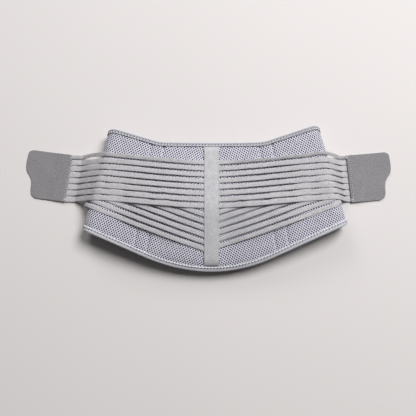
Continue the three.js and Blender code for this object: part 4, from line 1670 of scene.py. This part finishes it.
@dataclass
class Studio:
    """Pale floor, soft light from the upper right and a camera that looks down at the belt, in metres."""

    distance: float = 1.3
    tilt: float = 7.0
    target: tuple[float, float, float] = (-0.00665, 0.00095, 0.0)
    lens: float = 59.21
    floor_colour: tuple[float, float, float] = (0.80, 0.765, 0.755)
    floor_reach: float = 6.0
    floor_level: float = -0.0002
    floor_cloud: float = 0.0075
    floor_cloud_scale: float = 3.0
    light_distance: float = 3.4
    key_turn: float = 42.0
    key_rise: float = 56.5
    key_size: float = 1.8
    key_share: float = 0.77
    fill_turn: float = -22.0
    fill_rise: float = 32.0
    fill_size: float = 1.6
    fill_share: float = 0.12
    sky_share: float = 0.13
    sky_gain: float = 1.6
    sky_colour: tuple[float, float, float, float] = (1.0, 0.985, 0.98, 1.0)
    sky_lean: tuple[float, float, float] = (0.0, 0.7, 0.714)

    def build(self) -> None:
        """Makes the floor, the lights, the world and the camera."""
        scene = bpy.context.scene
        scene.view_settings.view_transform = "Standard"
        self.floor()
        self.light("key_light", self.key_turn, self.key_rise, self.key_size, self.key_share)
        self.light("fill_light", self.fill_turn, self.fill_rise, self.fill_size, self.fill_share)
        self.sky()
        camera = linked("camera", bpy.data.cameras.new("camera"))
        camera.data.lens = self.lens
        tilt = math.radians(self.tilt)
        camera.location = Vector(self.target) + self.distance * Vector((0.0, -math.sin(tilt), math.cos(tilt)))
        camera.rotation_euler = (tilt, 0.0, 0.0)
        scene.camera = camera

    def floor(self) -> None:
        """Makes the floor."""
        a, b, level = -self.floor_reach, self.floor_reach, self.floor_level
        mesh = bpy.data.meshes.new("floor")
        mesh.from_pydata([(a, a, level), (b, a, level), (b, b, level), (a, b, level)], [], [(0, 1, 2, 3)])
        paint, graph = new_material("floor_paint")
        cloud = graph.noise(graph.add("ShaderNodeTexCoord").outputs["Object"], self.floor_cloud_scale, 2.0)
        shade = graph.math("ADD", graph.about_zero(cloud, self.floor_cloud), 1.0)
        graph.surface(self.floor_colour, shade, {"Roughness": 0.85, "Specular IOR Level": 0.1})
        mesh.materials.append(paint)
        linked("floor", mesh)

    def sky(self) -> None:
        """Makes an even sky that is brighter above the belt's upper edge."""
        world = bpy.data.worlds.new("studio")
        world.use_nodes = True
        graph = NodeGraph(world.node_tree)
        way = graph.add("ShaderNodeTexCoord").outputs["Generated"]
        facing = graph.add("ShaderNodeVectorMath", {0: way, 1: self.sky_lean}, operation="DOT_PRODUCT")
        glow = graph.out("ShaderNodeMapRange", {
            "Value": facing.outputs["Value"], "From Min": 0.0, "From Max": 1.0,
            "To Min": 0.0, "To Max": self.sky_gain * self.sky_share})
        sky = graph.add("ShaderNodeBackground", {"Color": self.sky_colour, "Strength": glow})
        graph.add("ShaderNodeOutputWorld", {"Surface": sky.outputs[0]})
        bpy.context.scene.world = world

    def light(self, name: str, turn: float, rise: float, size: float, share: float) -> None:
        """Hangs a soft box that faces the belt.

        Args:
            name: Name of the light.
            turn: Its direction from the belt's upper side towards the right, in degrees.
            rise: Its height over the floor, in degrees.
            size: Width of the box.
            share: Its share of the light on the floor.
        """
        turn, rise = math.radians(turn), math.radians(rise)
        away = Vector((math.cos(rise) * math.sin(turn), math.cos(rise) * math.cos(turn), math.sin(rise)))
        lamp = bpy.data.lights.new(name, "AREA")
        lamp.shape = "DISK"
        lamp.size = size
        lamp.energy = (math.pi * self.light_distance) ** 2 * share / math.sin(rise)
        holder = linked(name, lamp)
        holder.location = Vector(self.target) + self.light_distance * away
        holder.rotation_euler = (-away).to_track_quat("-Z", "Y").to_euler()


def main() -> None:
    """Builds the belt's pieces and the studio."""
    logging.basicConfig(level=logging.INFO, format="%(name)s: %(message)s")
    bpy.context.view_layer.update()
    Studio().build()
    stitches, knit = StitchTree(), KnitTree()
    made: list[bpy.types.Object] = []
    for side in SIDES:
        straps = StrapSet(side)
        made += BeltPad(side, straps, stitches, knit).build()
        made += straps.build()
        made += PullTab(side, stitches, zigzag=side is LEFT).build()
    made += EdgeBinding(Edge.TOP, stitches, TOP_BINDING, (
        StitchRow("dashes", THREAD, depth=4.9, length=5.0, thickness=1.7, lean=-0.75),
        # Pit rows are near-black beads: painted shade in the needle holes.
        StitchRow("outer_pits", PIT_SHADE_BEADS, depth=2.9, length=2.9, thickness=2.2, lean=-0.5,
                  along=0.35, height=2.3),
        StitchRow("inner_pits", PIT_SHADE_BEADS, depth=6.7, length=3.1, thickness=2.0, lean=-0.5,
                  along=0.6, height=2.0)),
        roll=1.9).build()
    made += EdgeBinding(Edge.BOTTOM, stitches, BINDING, (
        StitchRow("loops", THREAD, depth=7.1, length=4.6, thickness=3.0, lean=0.35),
        # The pit row is near-black beads: painted shade in the needle holes.
        StitchRow("pits", PIT_SHADE_BEADS, depth=5.2, length=2.5, thickness=1.9, lean=0.6,
                  along=0.5, height=2.38)),
        roll=4.6).build()
    made.append(CentreTape().build())
    made.append(ClosurePatch().build())
    for piece in made:
        LOG.info("%s: %d faces", piece.name, len(piece.data.polygons))


if __name__ == "__main__":
    main()
